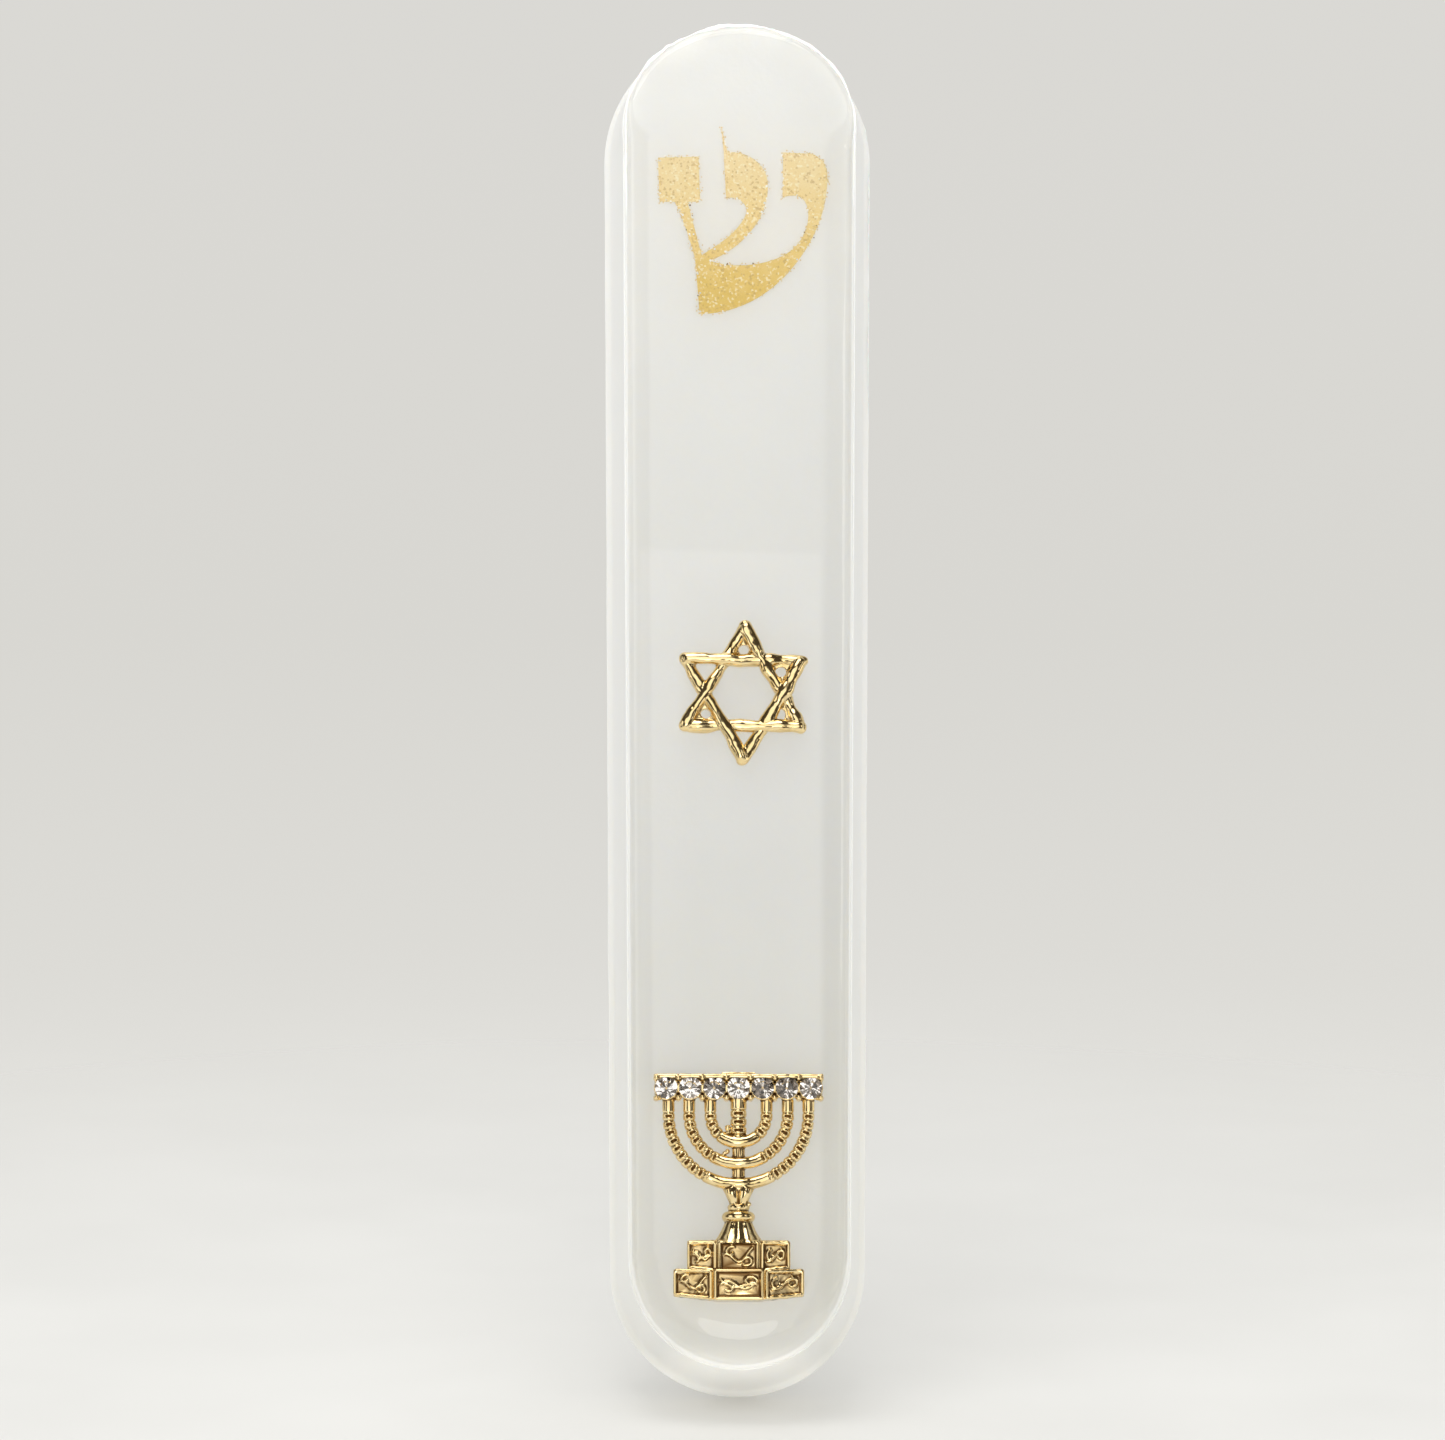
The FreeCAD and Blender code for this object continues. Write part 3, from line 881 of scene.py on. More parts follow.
def clear_front_coat():
    """Clear pour over the front, a little higher at its rounded rim."""
    shell = Shell()
    rings = []
    for index, (behind, inset) in enumerate(COAT_PROFILE):
        waviness = 0.10 if index in WAVY_RINGS else 0.0
        sideways = 0.05 if index >= WAVY_RINGS.stop else 0.0
        rings.append(coat_ring(behind, inset, waviness, sideways))
    back, middle = shell.add_walls(rings)
    shell.add_cap(back)
    shell.add_cap(middle)
    piece = closed_piece("clear_coat", in_row_frame(shell.points), shell.faces, 60, clear_resin())
    install(piece, "case", "clear_resin", "clear_front_coat")


def flash_bead(name, first, last, inset, behind, size, seed, resin):
    """Thin uneven bead of whitened flash along part of the rim, tapered to nothing; its pale colour is
    partly a painted highlight.
    """
    count = len(STATIONS)
    path, radii = [], []
    steps = last - first
    for step in range(steps + 1):
        station = STATIONS[(first + step) % count]
        along = step / steps
        wobble = noise.noise(Vector((step / 7.0, seed, 0.3)))
        tick = max(0.0, noise.noise(Vector((step / 2.6, seed + 5, 1.7))) - 0.2)
        body = 0.60 + 0.9 * noise.noise(Vector((step / 8.0, seed + 9, 2.2)))
        taper = min(1.0, 6 * along, 6 * (1 - along)) ** 0.6
        path.append(station_point(station, inset - 0.10 * wobble - 0.3 * tick, FRONT_Y + behind))
        radii.append(size * max(0.22, body) * taper + 0.01)
    points, faces = tube(path, radii, 12)
    piece = closed_piece(name, in_row_frame(points), faces, 0, resin)
    install(piece, "case", "clear_resin")


# --------------------------------------------------------------- gold charms

STAR_RADIUS = 6.1
STAR_TURN = 1.0
STAR_WEBS = (0, 1, 2, 4)
BAR_STEPS = 40
# A bar's radius and how much it swells, sways sideways, and rises and dips through the weave
BAR_RADIUS = 0.57
BAR_SWELL = 0.14
BAR_SWAY = 0.16
WEAVE_MIDDLE = 0.46
WEAVE_RISE = 0.24
HOLE_RADIUS = 0.44
# One hole is longer than the others
LONG_HOLE, HOLE_STRETCH = 2, 1.35
VOXEL = 0.07


def star_place(radius, clock_angle, depth):
    """Point of the star in its own millimetres, its angle clockwise from the top."""
    angle = math.radians(90 - clock_angle - STAR_TURN)
    return Vector((radius * math.cos(angle), -depth, radius * math.sin(angle)))


def star_bar(index):
    """Hand-laid bar from one tip to the next but one, over one neighbour and under the other."""
    start = star_place(STAR_RADIUS - 0.05, 60 * index, 0)
    end = star_place(STAR_RADIUS - 0.05, 60 * (index + 2), 0)
    across = (end - start).cross(Vector((0, 1, 0))).normalized()
    path, radii = [], []
    for step in range(BAR_STEPS + 1):
        share = step / BAR_STEPS
        sway = BAR_SWAY * noise.noise(Vector((share * 3.0, index * 3.1, 0.5)))
        swell = noise.noise(Vector((share * 7.0, index * 5.3, 4.5)))
        depth = WEAVE_MIDDLE
        depth += WEAVE_RISE * math.cos(math.pi * share) * math.sin(math.pi * share) ** 0.3
        point = start.lerp(end, share) + across * sway
        point.y = -depth - 0.05 * swell
        path.append(point)
        radii.append(BAR_RADIUS + BAR_SWELL * swell)
    return tube(path, radii, 18)


def star_web(index):
    """Web with a round hole that fills one point of the star."""
    tip = star_place(STAR_RADIUS - 0.2, 60 * index, 0)
    left = star_place(STAR_RADIUS / math.sqrt(3), 60 * index + 30, 0)
    right = star_place(STAR_RADIUS / math.sqrt(3), 60 * index - 30, 0)
    middle = star_place(STAR_RADIUS * 0.64, 60 * index, 0)
    corners = [tip, left, right]
    count = 36
    ring_sets = []
    stretch = HOLE_STRETCH if index == LONG_HOLE else 1.0
    for reach, depth in ((1.0, 0.0), (1.0, 0.6), (0.0, 0.6), (0.0, 0.0)):
        ring = []
        for step in range(count):
            edge = step * 3 // count
            share = (step * 3 / count) % 1.0
            outer = corners[edge].lerp(corners[(edge + 1) % 3], share)
            direction = (outer - middle).normalized()
            hole = Vector((direction.x * HOLE_RADIUS, 0, direction.z * HOLE_RADIUS * stretch))
            inner = middle + hole
            place = inner.lerp(outer, reach)
            ring.append((place.x, -depth, place.z))
        ring_sets.append(ring)
    points = [point for ring in ring_sets for point in ring]
    faces = strip_faces(4, count)
    for place in range(count):
        beside = (place + 1) % count
        faces.append((3 * count + place, 3 * count + beside, beside, place))
    return points, faces


def star_charm(gold):
    """Star of six woven bars with four holed webs and a ball on each tip."""
    low, high = box_mm("star_charm")
    origin = Vector(((low.x + high.x) / 2, FRONT_Y, (low.z + high.z) / 2))
    parts = [star_bar(index) for index in range(6)]
    parts += [star_web(index) for index in STAR_WEBS]
    for index in range(6):
        tip = star_place(STAR_RADIUS - 0.02, 60 * index, 0.45)
        parts.append(ball(tip, 0.58, 0.9))
    piece = cast(
        "woven_star",
        parts,
        origin,
        voxel=VOXEL * 0.9,
        smoothing=3,
        lump_size=1.3,
        lump_height=0.15,
        hollow_darkening=0.45,
    )
    piece.data.materials.append(gold)
    install(piece, "case", "gold_plate", "star_charm", shades=False)


CUP_COUNT = 7
CUP_PITCH = 2.17
CUP_INSIDE = 0.93
CUP_OUTSIDE = 1.10
RAIL_DEPTH = 0.80
STONE_DROP = 1.275
ARM_DROP = 3.65
# Radius of each arm's middle line, and half the angle of its plain stretch at the bottom
ARMS = ((6.29, 26), (4.44, 28), (2.53, 40))
RIB_PITCH = 0.76
# Share of the radius lost in the grooves between ribs, and half a groove's width
GROOVE_CUT = 0.30
GROOVE_REACH = 0.13
# Share of the radius cut by the slot in each rib, and half the slot's width
SLOT_CUT = 0.5
SLOT_REACH = 0.10
ARM_RADIUS = 0.56
ARM_HEIGHT = 0.16
CUP_BOTTOM = 2.3
PATH_STEP = 0.05
# How far the blocks reach into the coat
BURIED = 0.3
STEM_RADIUS = 0.74


def cup_x(index):
    """Middle of a stone's cup across the lamp stand."""
    return (index - (CUP_COUNT - 1) / 2) * CUP_PITCH


def box_part(left, right, top, bottom, depth):
    """Block from just inside the coat to a height over it, between two drops from the top."""
    sides = ((left, bottom), (right, bottom), (right, top), (left, top))
    low = [(x, BURIED, -drop) for x, drop in sides]
    high = [(x, -depth, z) for x, _, z in low]
    return hexahedron(low, high)


def rail_parts():
    """Top bar, one cup for each stone, and the prongs between them."""
    parts = [box_part(-7.55, 7.55, 0.35, 1.9, 0.12)]
    edge = [Vector((-7.6 + 15.2 * step / 40, -0.78, -0.24)) for step in range(41)]
    parts.append(tube(edge, [0.235 + 0.02 * math.sin(step * 1.9) for step in range(41)], 12))
    parts.append(box_part(-7.65, 7.65, 0.08, 0.42, 0.75))
    parts.append(box_part(-1.5, 1.5, -0.15, 0.3, 0.7))
    for index in range(CUP_COUNT):
        middle = cup_x(index)
        parts.append(ring_wall(middle, STONE_DROP, CUP_INSIDE, CUP_OUTSIDE, RAIL_DEPTH))
    for index in range(CUP_COUNT + 1):
        middle = cup_x(index) - CUP_PITCH / 2
        middle = max(-7.4, min(7.4, middle))
        for drop in (0.42, 2.2):
            path = [(middle, -depth, -drop) for depth in (0.0, 0.5, 0.9, 1.12, 1.2)]
            parts.append(tube(path, (0.3, 0.29, 0.26, 0.2, 0.1), 12))
    for side in (-1, 1):
        for drop in (0.35, 2.15):
            path = [(side * reach, -0.7, -drop) for reach in (7.0, 7.35, 7.55)]
            parts.append(tube(path, (0.26, 0.23, 0.12), 10))
    return parts


def ring_wall(centre_x, drop, inner, outer, depth):
    """Cup wall round a stone, with a floor."""
    profile = (
        (outer * 0.9, -0.2),
        (outer, 0.2),
        (outer, depth - 0.06),
        (inner + 0.06, depth),
        (inner, depth - 0.1),
        (inner * 0.2, 0.02),
    )
    sides = 40
    points = []
    for radius, height in profile:
        for step in range(sides):
            angle = 2 * math.pi * step / sides
            points.append((
                centre_x + radius * math.cos(angle),
                -height,
                -drop + radius * math.sin(angle),
            ))
    return points, capped_strip(len(profile), sides)


def ribbed(distance, first, last):
    """Share of the full radius, and share slotted off the front, along a bar ribbed in part."""
    if not first <= distance <= last:
        return 1.0, 0.0
    phase = ((distance - first) / RIB_PITCH) % 1.0
    groove = min(phase, 1 - phase) * RIB_PITCH
    slot = abs(phase - 0.5) * RIB_PITCH
    radius_share = 1.0 - GROOVE_CUT * max(0.0, 1 - groove / GROOVE_REACH)
    return radius_share, SLOT_CUT if slot < SLOT_REACH else 0.0


def arm_part(radius, plain_half_angle):
    """U-shaped arm pair: ribbed bars that turn plain at the bottom."""
    upright = ARM_DROP - CUP_BOTTOM
    half_turn = math.pi * radius
    length = 2 * upright + half_turn
    plain = radius * math.radians(plain_half_angle)
    count = int(length / PATH_STEP)
    path, radii, slots = [], [], []
    for step in range(count + 1):
        distance = length * step / count
        if distance < upright:
            place = (-radius, -(CUP_BOTTOM + distance))
        elif distance > length - upright:
            place = (radius, -(CUP_BOTTOM + length - distance))
        else:
            angle = math.pi + (distance - upright) / radius
            place = (radius * math.cos(angle), -ARM_DROP + radius * math.sin(angle))
        near_end = min(distance, length - distance)
        share, slot = ribbed(near_end, 1.15, length / 2 - plain)
        forward = 0.30 * math.exp(-((place[0] / 1.3) ** 2)) if place[1] < -ARM_DROP else 0.0
        path.append((place[0], -ARM_HEIGHT - forward, place[1]))
        radii.append(ARM_RADIUS * share)
        slots.append(slot)
    return tube(path, radii, 24, slots)


def stem_part():
    """Upright stem, ribbed down to the inner arm."""
    top, bottom = 2.2, 10.2
    count = int((bottom - top) / PATH_STEP)
    path, radii, slots = [], [], []
    for step in range(count + 1):
        drop = top + (bottom - top) * step / count
        share, slot = ribbed(drop, 3.2, 6.0)
        plain = 0.8 if 6.2 < drop else 1.0
        path.append((0.0, -ARM_HEIGHT, -drop))
        radii.append(STEM_RADIUS * share * plain)
        slots.append(slot)
    return tube(path, radii, 24, slots)


# Drop and radius of the flared cup over the bead, and a lobe's place, height, drop and radius
CALYX_PROFILE = (
    (12.4, 0.6),
    (11.9, 0.75),
    (11.3, 0.98),
    (10.8, 1.2),
    (10.4, 1.42),
    (10.0, 1.5),
    (9.6, 1.3),
)
LOBE = (
    (0.24, 0.40, 12.2, 0.26),
    (0.34, 0.44, 11.7, 0.34),
    (0.46, 0.52, 11.2, 0.46),
    (0.60, 0.58, 10.7, 0.56),
    (0.72, 0.56, 10.3, 0.5),
)


def calyx_parts():
    """Flared cup and, on it, two lobes with a seam between them."""
    parts = [turned(CALYX_PROFILE, squash=0.62)]
    for side in (-1, 1):
        path = [(side * x, -depth, -drop) for x, depth, drop, _ in LOBE]
        parts.append(tube(path, [radius for *_, radius in LOBE], 16))
    return parts


def neck_parts():
    """Bead, collar and fluted cone under the calyx."""
    bead = ((11.7, 0.75), (11.85, 0.98), (12.05, 1.02), (12.25, 0.94), (12.45, 0.85))
    turns = [math.radians(angle) for angle in range(-90, 91, 15)]
    collar = [(12.9 + 0.50 * math.sin(turn), 1.0 + 0.50 * math.cos(turn)) for turn in turns]
    cone = ((13.2, 1.2), (13.5, 1.3), (14.0, 1.5), (14.5, 1.78), (15.0, 2.1), (15.4, 2.45))
    return [turned(bead), turned(collar), turned(cone, sides=96, flutes=12, flute_depth=0.08)]


def leaning_panel(side, reach, drops, depths, rise):
    """Side panel of a tier that falls back and rises outwards."""
    near, far = reach
    top, bottom = drops
    outline = [(near, -bottom), (far, -bottom + rise), (far, -top + 0.3 * rise), (near, -top)]
    low = [(side * x, BURIED, z) for x, z in outline]
    high = [(side * x, -depths[0 if x == near else 1], z) for x, z in outline]
    if side < 0:
        low.reverse()
        high.reverse()
    return hexahedron(low, high)


PANEL_SINK = 0.26


def panel_relief(place, half_width, half_height, kind):
    """Frame and generic scrollwork on a panel, whose place turns (across, up) into a point."""
    parts = []
    corners = [(-1, -1), (1, -1), (1, 1), (-1, 1)]
    border = 0.13
    for index in range(4):
        first, second = corners[index], corners[(index + 1) % 4]
        path = []
        for step in range(13):
            share = step / 12
            across = (first[0] + (second[0] - first[0]) * share) * (half_width - border)
            up = (first[1] + (second[1] - first[1]) * share) * (half_height - border)
            path.append(place(across, up, PANEL_SINK - 0.16))
        parts.append(tube(path, [0.17] * 13, 8))
    reach_x = half_width - 0.46
    reach_z = half_height - 0.46
    for curl in SCROLLWORK[kind]:
        path, radii = [], []
        for step in range(25):
            share = step / 24
            across, up = curl(share)
            path.append(place(across * reach_x, up * reach_z, 0.07))
            radii.append(0.08 + 0.04 * math.sin(math.pi * min(1, 0.1 + 0.9 * share)))
        parts.append(tube(path, radii, 8))
    return parts


def wave_curl(phase, height, tilt):
    """Long S-shaped curl across a panel."""
    return lambda share: (
        -0.95 + 1.9 * share,
        height * math.sin(2 * math.pi * share + phase) + tilt * (share - 0.5),
    )


def hook_curl(centre_x, centre_z, size, turns, start):
    """Spiral hook about a place in a panel."""
    return lambda share: (
        centre_x + size * (1 - 0.75 * share) * math.cos(start + turns * share),
        centre_z + size * (1 - 0.75 * share) * math.sin(start + turns * share) * 1.4,
    )


SCROLLWORK = {
    "waves": (
        wave_curl(0.4, 0.45, 0.3),
        wave_curl(2.2, 0.30, -0.5),
        hook_curl(0.55, 0.35, 0.40, 4.5, 0.0),
        hook_curl(-0.60, -0.45, 0.38, -4.5, 2.0),
    ),
    "leaves": (
        wave_curl(1.3, 0.55, 0.7),
        hook_curl(-0.5, 0.4, 0.42, 5.0, 1.0),
        hook_curl(0.55, -0.35, 0.42, 5.0, 4.0),
    ),
    "hooks": (
        hook_curl(-0.5, 0.0, 0.5, 5.0, 1.6),
        hook_curl(0.5, 0.0, 0.5, -5.0, 1.6),
        wave_curl(3.4, 0.25, 0.9),
    ),
}


# Top, bottom, outer and middle half width, outer and middle depth, rise of the side panels
TIERS = (
    (15.15, 17.95, 4.62, 1.84, 1.05, 1.75, 0.30),
    (17.75, 20.5, 5.85, 2.22, 1.25, 2.25, 0.40),
)
# Scrollwork on the left, right and middle panel of each tier
PANEL_KINDS = (("waves", "hooks", "leaves"), ("leaves", "hooks", "waves"))
LEDGE_REACHES = (-0.97, -0.5, 0.0, 0.5, 0.97)


def base_parts():
    """Two tiers, each with a middle panel and two side panels, all framed."""
    parts = []
    for tier, kinds in zip(TIERS, PANEL_KINDS):
        top, bottom, outer, middle, outer_depth, middle_depth, rise = tier
        half_height = (bottom - top) / 2
        centre_drop = (top + bottom) / 2
        parts.append(box_part(-middle, middle, top, bottom, middle_depth - PANEL_SINK))
        ledge = [(outer * reach, 0.12 - outer_depth, -top - 0.14) for reach in LEDGE_REACHES]
        parts.append(tube(ledge, [0.27] * len(ledge), 12))
        behind = middle + 0.4
        parts.append(box_part(-behind, behind, top + 0.1, bottom - 0.1, middle_depth - 0.75))

        def middle_place(across, up, lift, drop=centre_drop, depth=middle_depth):
            """Point of the middle panel."""
            return Vector((across, -(depth - PANEL_SINK) - lift, -drop + up))

        parts += panel_relief(middle_place, middle, half_height, kinds[2])
        near = middle + 0.16
        near_depth = middle_depth - 0.30
        for side, kind in zip((-1, 1), kinds):
            parts.append(leaning_panel(
                side,
                (near, outer),
                (top + 0.05, bottom - 0.05),
                (near_depth - PANEL_SINK, outer_depth - PANEL_SINK * 0.6),
                rise,
            ))
            half_width = (outer - near) / 2

            def side_place(
                across,
                up,
                lift,
                side=side,
                near=near,
                half_width=half_width,
                half_height=half_height,
                drop=centre_drop,
                depths=(near_depth, outer_depth),
                rise=rise,
            ):
                """Point of a side panel, which falls back and rises outwards."""
                share = 0.5 + side * across / (2 * half_width)
                sink = PANEL_SINK * (1 - 0.4 * share)
                depth = depths[0] + (depths[1] - depths[0]) * share - sink
                squeeze = 1 - 0.35 * rise * share / half_height
                height = up * squeeze + 0.65 * rise * share - drop
                return Vector((side * (near + 2 * half_width * share), -depth - lift, height))

            parts += panel_relief(side_place, half_width, half_height - 0.05, kind)
    return parts


def blob_parts():
    """Small beads of metal left by the casting."""
    beads = (
        (-0.98, 0.35, 4.85, 0.27),
        (-0.92, 0.3, 5.25, 0.22),
        (-1.0, 0.3, 7.0, 0.24),
        (-1.28, 0.3, 7.15, 0.18),
        (-4.3, 0.62, 4.75, 0.2),
        (0.95, 0.4, 11.75, 0.22),
    )
    return [ball((x, -depth, -drop), size) for x, depth, drop, size in beads]


def menorah_charm(gold):
    """Seven-branched lamp stand, cast in one piece."""
    low, high = box_mm("menorah_charm")
    rail_top = high.z - 0.18
    origin = Vector(((low.x + high.x) / 2, FRONT_Y, rail_top))
    parts = rail_parts() + [arm_part(*arm) for arm in ARMS] + [stem_part()]
    parts += calyx_parts() + neck_parts() + base_parts() + blob_parts()
    piece = cast(
        "lamp_stand",
        parts,
        origin,
        voxel=VOXEL,
        smoothing=1,
        lump_size=0.7,
        lump_height=0.03,
        hollow_darkening=1.0,
    )
    piece.data.materials.append(gold)
    install(piece, "case", "gold_plate", "menorah_charm", shades=False)


# -------------------------------------------------------------------- stones

FACETS = 8
GIRDLE_SIDES = 2 * FACETS
TABLE_RADIUS = 0.60
CROWN_RADIUS = 0.84
GIRDLE_RADIUS = 1.03
CROWN_HEIGHT = 0.35
GIRDLE_HEIGHT = 0.04
PAVILION_DEPTH = 0.80
STONE_TILT = 0.06
STONE_SINK = 0.06
# Share of the mirrored facets painted dark to stand for dark reflections
DARK_FACETS = 0.42


def brilliant(centre, rng):
    """Points, crown faces and foil faces of a brilliant-cut stone, turned and tilted at random."""
    spin = rng.uniform(0, 2 * math.pi / FACETS)
    tilt_x = rng.uniform(-STONE_TILT, STONE_TILT)
    tilt_z = rng.uniform(-STONE_TILT, STONE_TILT)
    points = []

    def add_ring(radius, behind, sides, turn=0.0):
        """Adds a ring of points and gives the number of its first."""
        first = len(points)
        for step in range(sides):
            angle = spin + turn + 2 * math.pi * step / sides
            x = radius * math.cos(angle)
            z = radius * math.sin(angle)
            y = behind + x * tilt_x + z * tilt_z
            points.append((centre.x + x, centre.y + STONE_SINK + y, centre.z + z))
        return first

    half_facet = math.pi / FACETS
    table = add_ring(TABLE_RADIUS, 0, FACETS)
    middle = add_ring(CROWN_RADIUS, CROWN_HEIGHT * 0.52, FACETS, half_facet)
    girdle = add_ring(GIRDLE_RADIUS, CROWN_HEIGHT, GIRDLE_SIDES)
    under = add_ring(GIRDLE_RADIUS, CROWN_HEIGHT + GIRDLE_HEIGHT, GIRDLE_SIDES)
    pavilion = add_ring(GIRDLE_RADIUS * 0.30, CROWN_HEIGHT + PAVILION_DEPTH * 0.74, FACETS)
    culet = add_ring(0.04, CROWN_HEIGHT + PAVILION_DEPTH, FACETS, half_facet)
    crown_faces = [tuple(range(table, table + FACETS))]
    foil_faces = [tuple(reversed(range(culet, culet + FACETS)))]
    for step in range(FACETS):
        after = (step + 1) % FACETS
        corner, half, next_corner = girdle + 2 * step, girdle + 2 * step + 1, girdle + 2 * after
        crown_faces.append((table + step, middle + step, table + after))
        crown_faces.append((middle + step, half, next_corner))
        crown_faces.append((middle + step, corner, half))
        crown_faces.append((table + after, middle + step, next_corner, middle + after))
        corner, half, next_corner = under + 2 * step, under + 2 * step + 1, under + 2 * after
        foil_faces.append((corner, pavilion + step, half))
        foil_faces.append((half, pavilion + after, next_corner))
        foil_faces.append((half, pavilion + step, culet + step, pavilion + after))
    for step in range(GIRDLE_SIDES):
        after = (step + 1) % GIRDLE_SIDES
        crown_faces.append((girdle + step, under + step, under + after, girdle + after))
    return points, crown_faces, foil_faces


def stone(index, *looks):
    """Stone with a mirrored back; its looks are the crown, the bright facets and the facets painted dark as
    painted reflections.
    """
    node = f"crystal_{index + 1}"
    low, high = box_mm(node)
    centre = Vector(((low.x + high.x) / 2, low.y, (low.z + high.z) / 2))
    rng = random.Random(40 + index)
    points, crown_faces, foil_faces = brilliant(centre, rng)
    faces = crown_faces + foil_faces
    piece = closed_piece(f"brilliant_{index + 1}", np.array(points) * MM, faces, 1, *looks)
    piece.data.shade_flat()
    for polygon in piece.data.polygons[len(crown_faces):]:
        polygon.material_index = 2 if rng.random() < DARK_FACETS else 1
    install(piece, "case", "crystal", node, shades=False)


# ---------------------------------------------- letter, cover, scroll and pads

# How far the foil stands off the body's front, and how far it reaches into the body
LETTER_LIFT = 0.06
LETTER_SINK = 0.02
# Faces of the CAD letter this near its front belong to its outline
FRONT_SLACK = 0.02 * MM


def foil_letter(foil):
    """Thin foil on the milky body, cut to the CAD letter's outline."""
    source = frame["nodes"]["shin_inlay"].data
    front = min(vertex.co.y for vertex in source.vertices) + FRONT_SLACK
    numbers, outline, triangles = {}, [], []
    for polygon in source.polygons:
        corners = [source.vertices[index].co for index in polygon.vertices]
        if any(corner.y > front for corner in corners):
            continue
        triangle = []
        for corner in corners:
            key = (round(corner.x, 7), round(corner.z, 7))
            if key not in numbers:
                numbers[key] = len(outline)
                outline.append(key)
            triangle.append(numbers[key])
        triangles.append(tuple(triangle))
    count = len(outline)
    layers = [(BODY_FRONT_Y + depth) * MM for depth in (LETTER_SINK, -LETTER_LIFT)]
    points = [(x, y, z) for y in layers for x, z in outline]
    faces = [tuple(reversed(triangle)) for triangle in triangles]
    faces += [tuple(count + corner for corner in triangle) for triangle in triangles]
    used = {(face[side], face[(side + 1) % 3]) for face in triangles for side in range(3)}
    border = [(a, b) for a, b in used if (b, a) not in used]
    faces += [(a, b, count + b, count + a) for a, b in border]
    letter = closed_piece("foil_letter", points, faces, 30, foil)
    install(letter, "case", "glitter_foil", "shin_inlay", shades=False)
    return [(Vector(points[count + a]), Vector(points[count + b])) for a, b in border]


# Glitter flakes: name, colour, metal, radius in millimetres and how many; the plain white ones are painted
# glints
FLAKES = (
    ("flake_painted_glint", (1.0, 0.99, 0.95), 0.0, 0.105, 90),
    ("flake_gold", (0.86, 0.66, 0.30), 0.0, 0.065, 520),
    ("flake_dark", (0.20, 0.12, 0.06), 0.5, 0.080, 9),
)
FLAKE_THICKNESS = 0.012 * MM
FLAKE_STRAY = 0.11


def glitter_flakes(edges):
    """Loose six-sided flakes of glitter round the letter's outline; the white ones are painted glints."""
    rng = random.Random(7)
    edges = sorted(edges, key=lambda edge: (edge[0].x, edge[0].z))
    lengths = [(second - first).length for first, second in edges]
    points, faces, kinds = [], [], []
    for kind, (_, _, _, radius, count) in enumerate(FLAKES):
        for first, second in rng.choices(edges, lengths, k=count):
            size = radius * rng.uniform(0.7, 1.2) * MM
            stray = Vector((rng.gauss(0, FLAKE_STRAY), -rng.uniform(0.02, 0.10), rng.gauss(0, FLAKE_STRAY)))
            centre = first.lerp(second, rng.random()) + stray * MM
            flake_points, flake_faces = flake(centre, size, rng)
            faces += [tuple(len(points) + corner for corner in face) for face in flake_faces]
            points += flake_points
            kinds += [kind] * len(flake_faces)
    looks = [flake_metal(name, colour, metal) for name, colour, metal, _, _ in FLAKES]
    flakes = closed_piece("glitter_flakes", points, faces, 1, *looks)
    flakes.data.shade_flat()
    for polygon, kind in zip(flakes.data.polygons, kinds):
        polygon.material_index = kind
    install(flakes, "case", "glitter_foil", shades=False)


def flake(centre, size, rng):
    """Six-sided plate, tilted at random."""
    normal = Vector((rng.gauss(0, 0.4), -1, rng.gauss(0, 0.4))).normalized()
    side = normal.cross(UP).normalized()
    other = normal.cross(side)
    points = []
    for layer in (0.0, FLAKE_THICKNESS):
        for step in range(6):
            angle = math.pi * step / 3
            reach = side * math.cos(angle) + other * math.sin(angle)
            points.append(tuple(centre + reach * size + normal * layer))
    faces = [tuple(reversed(range(6))), tuple(range(6, 12))]
    faces += [(step, (step + 1) % 6, 6 + (step + 1) % 6, 6 + step) for step in range(6)]
    return points, faces


def flake_metal(name, colour, metal):
    """Look of one kind of glitter flake."""
    made, tree, shader = material(name, Metallic=metal, Roughness=0.15)
    tint = mottle(tree, millimetres(tree), 0.5, 1.0)
    dimmer = tuple(0.85 * channel for channel in colour)
    drive(tree, shader, "Base Color", ramp(tree, tint, (0.35, dimmer), (0.6, colour)))
    return made


def rear_cover():
    """CAD cover with its edges softened."""
    cover = frame["nodes"]["rear_cover"]
    cover.data.materials.clear()
    cover.data.materials.append(cover_resin())
    weld = cover.modifiers.new("weld", "WELD")
    weld.merge_threshold = 0.002 * MM
    bevel = cover.modifiers.new("soft_edges", "BEVEL")
    bevel.width = 0.14 * MM
    bevel.segments = 3
    bevel.limit_method = "ANGLE"
    bevel.angle_limit = math.radians(40)
    bevel.harden_normals = True


SPIRAL_START = 1.75
SPIRAL_PITCH = 0.6
SPIRAL_TURNS = 3.5
SHEET_THICKNESS = 0.22
SHEET_STEPS = 150
SHEET_ROWS = 26


def sheet_faces(rows, steps):
    """Faces of a rolled sheet whose rows hold steps points inside and steps points outside."""
    faces = []
    wide = 2 * steps
    for row in range(rows - 1):
        for step in range(steps - 1):
            inner = row * wide + step
            outer = inner + steps
            faces.append((inner, inner + 1, inner + 1 + wide, inner + wide))
            faces.append((outer + 1, outer, outer + wide, outer + 1 + wide))
        for step in (0, steps - 1):
            inner = row * wide + step
            faces.append((inner, inner + wide, inner + wide + steps, inner + steps))
    for row in (0, rows - 1):
        for step in range(steps - 1):
            inner = row * wide + step
            faces.append((inner, inner + steps, inner + steps + 1, inner + 1))
    return faces


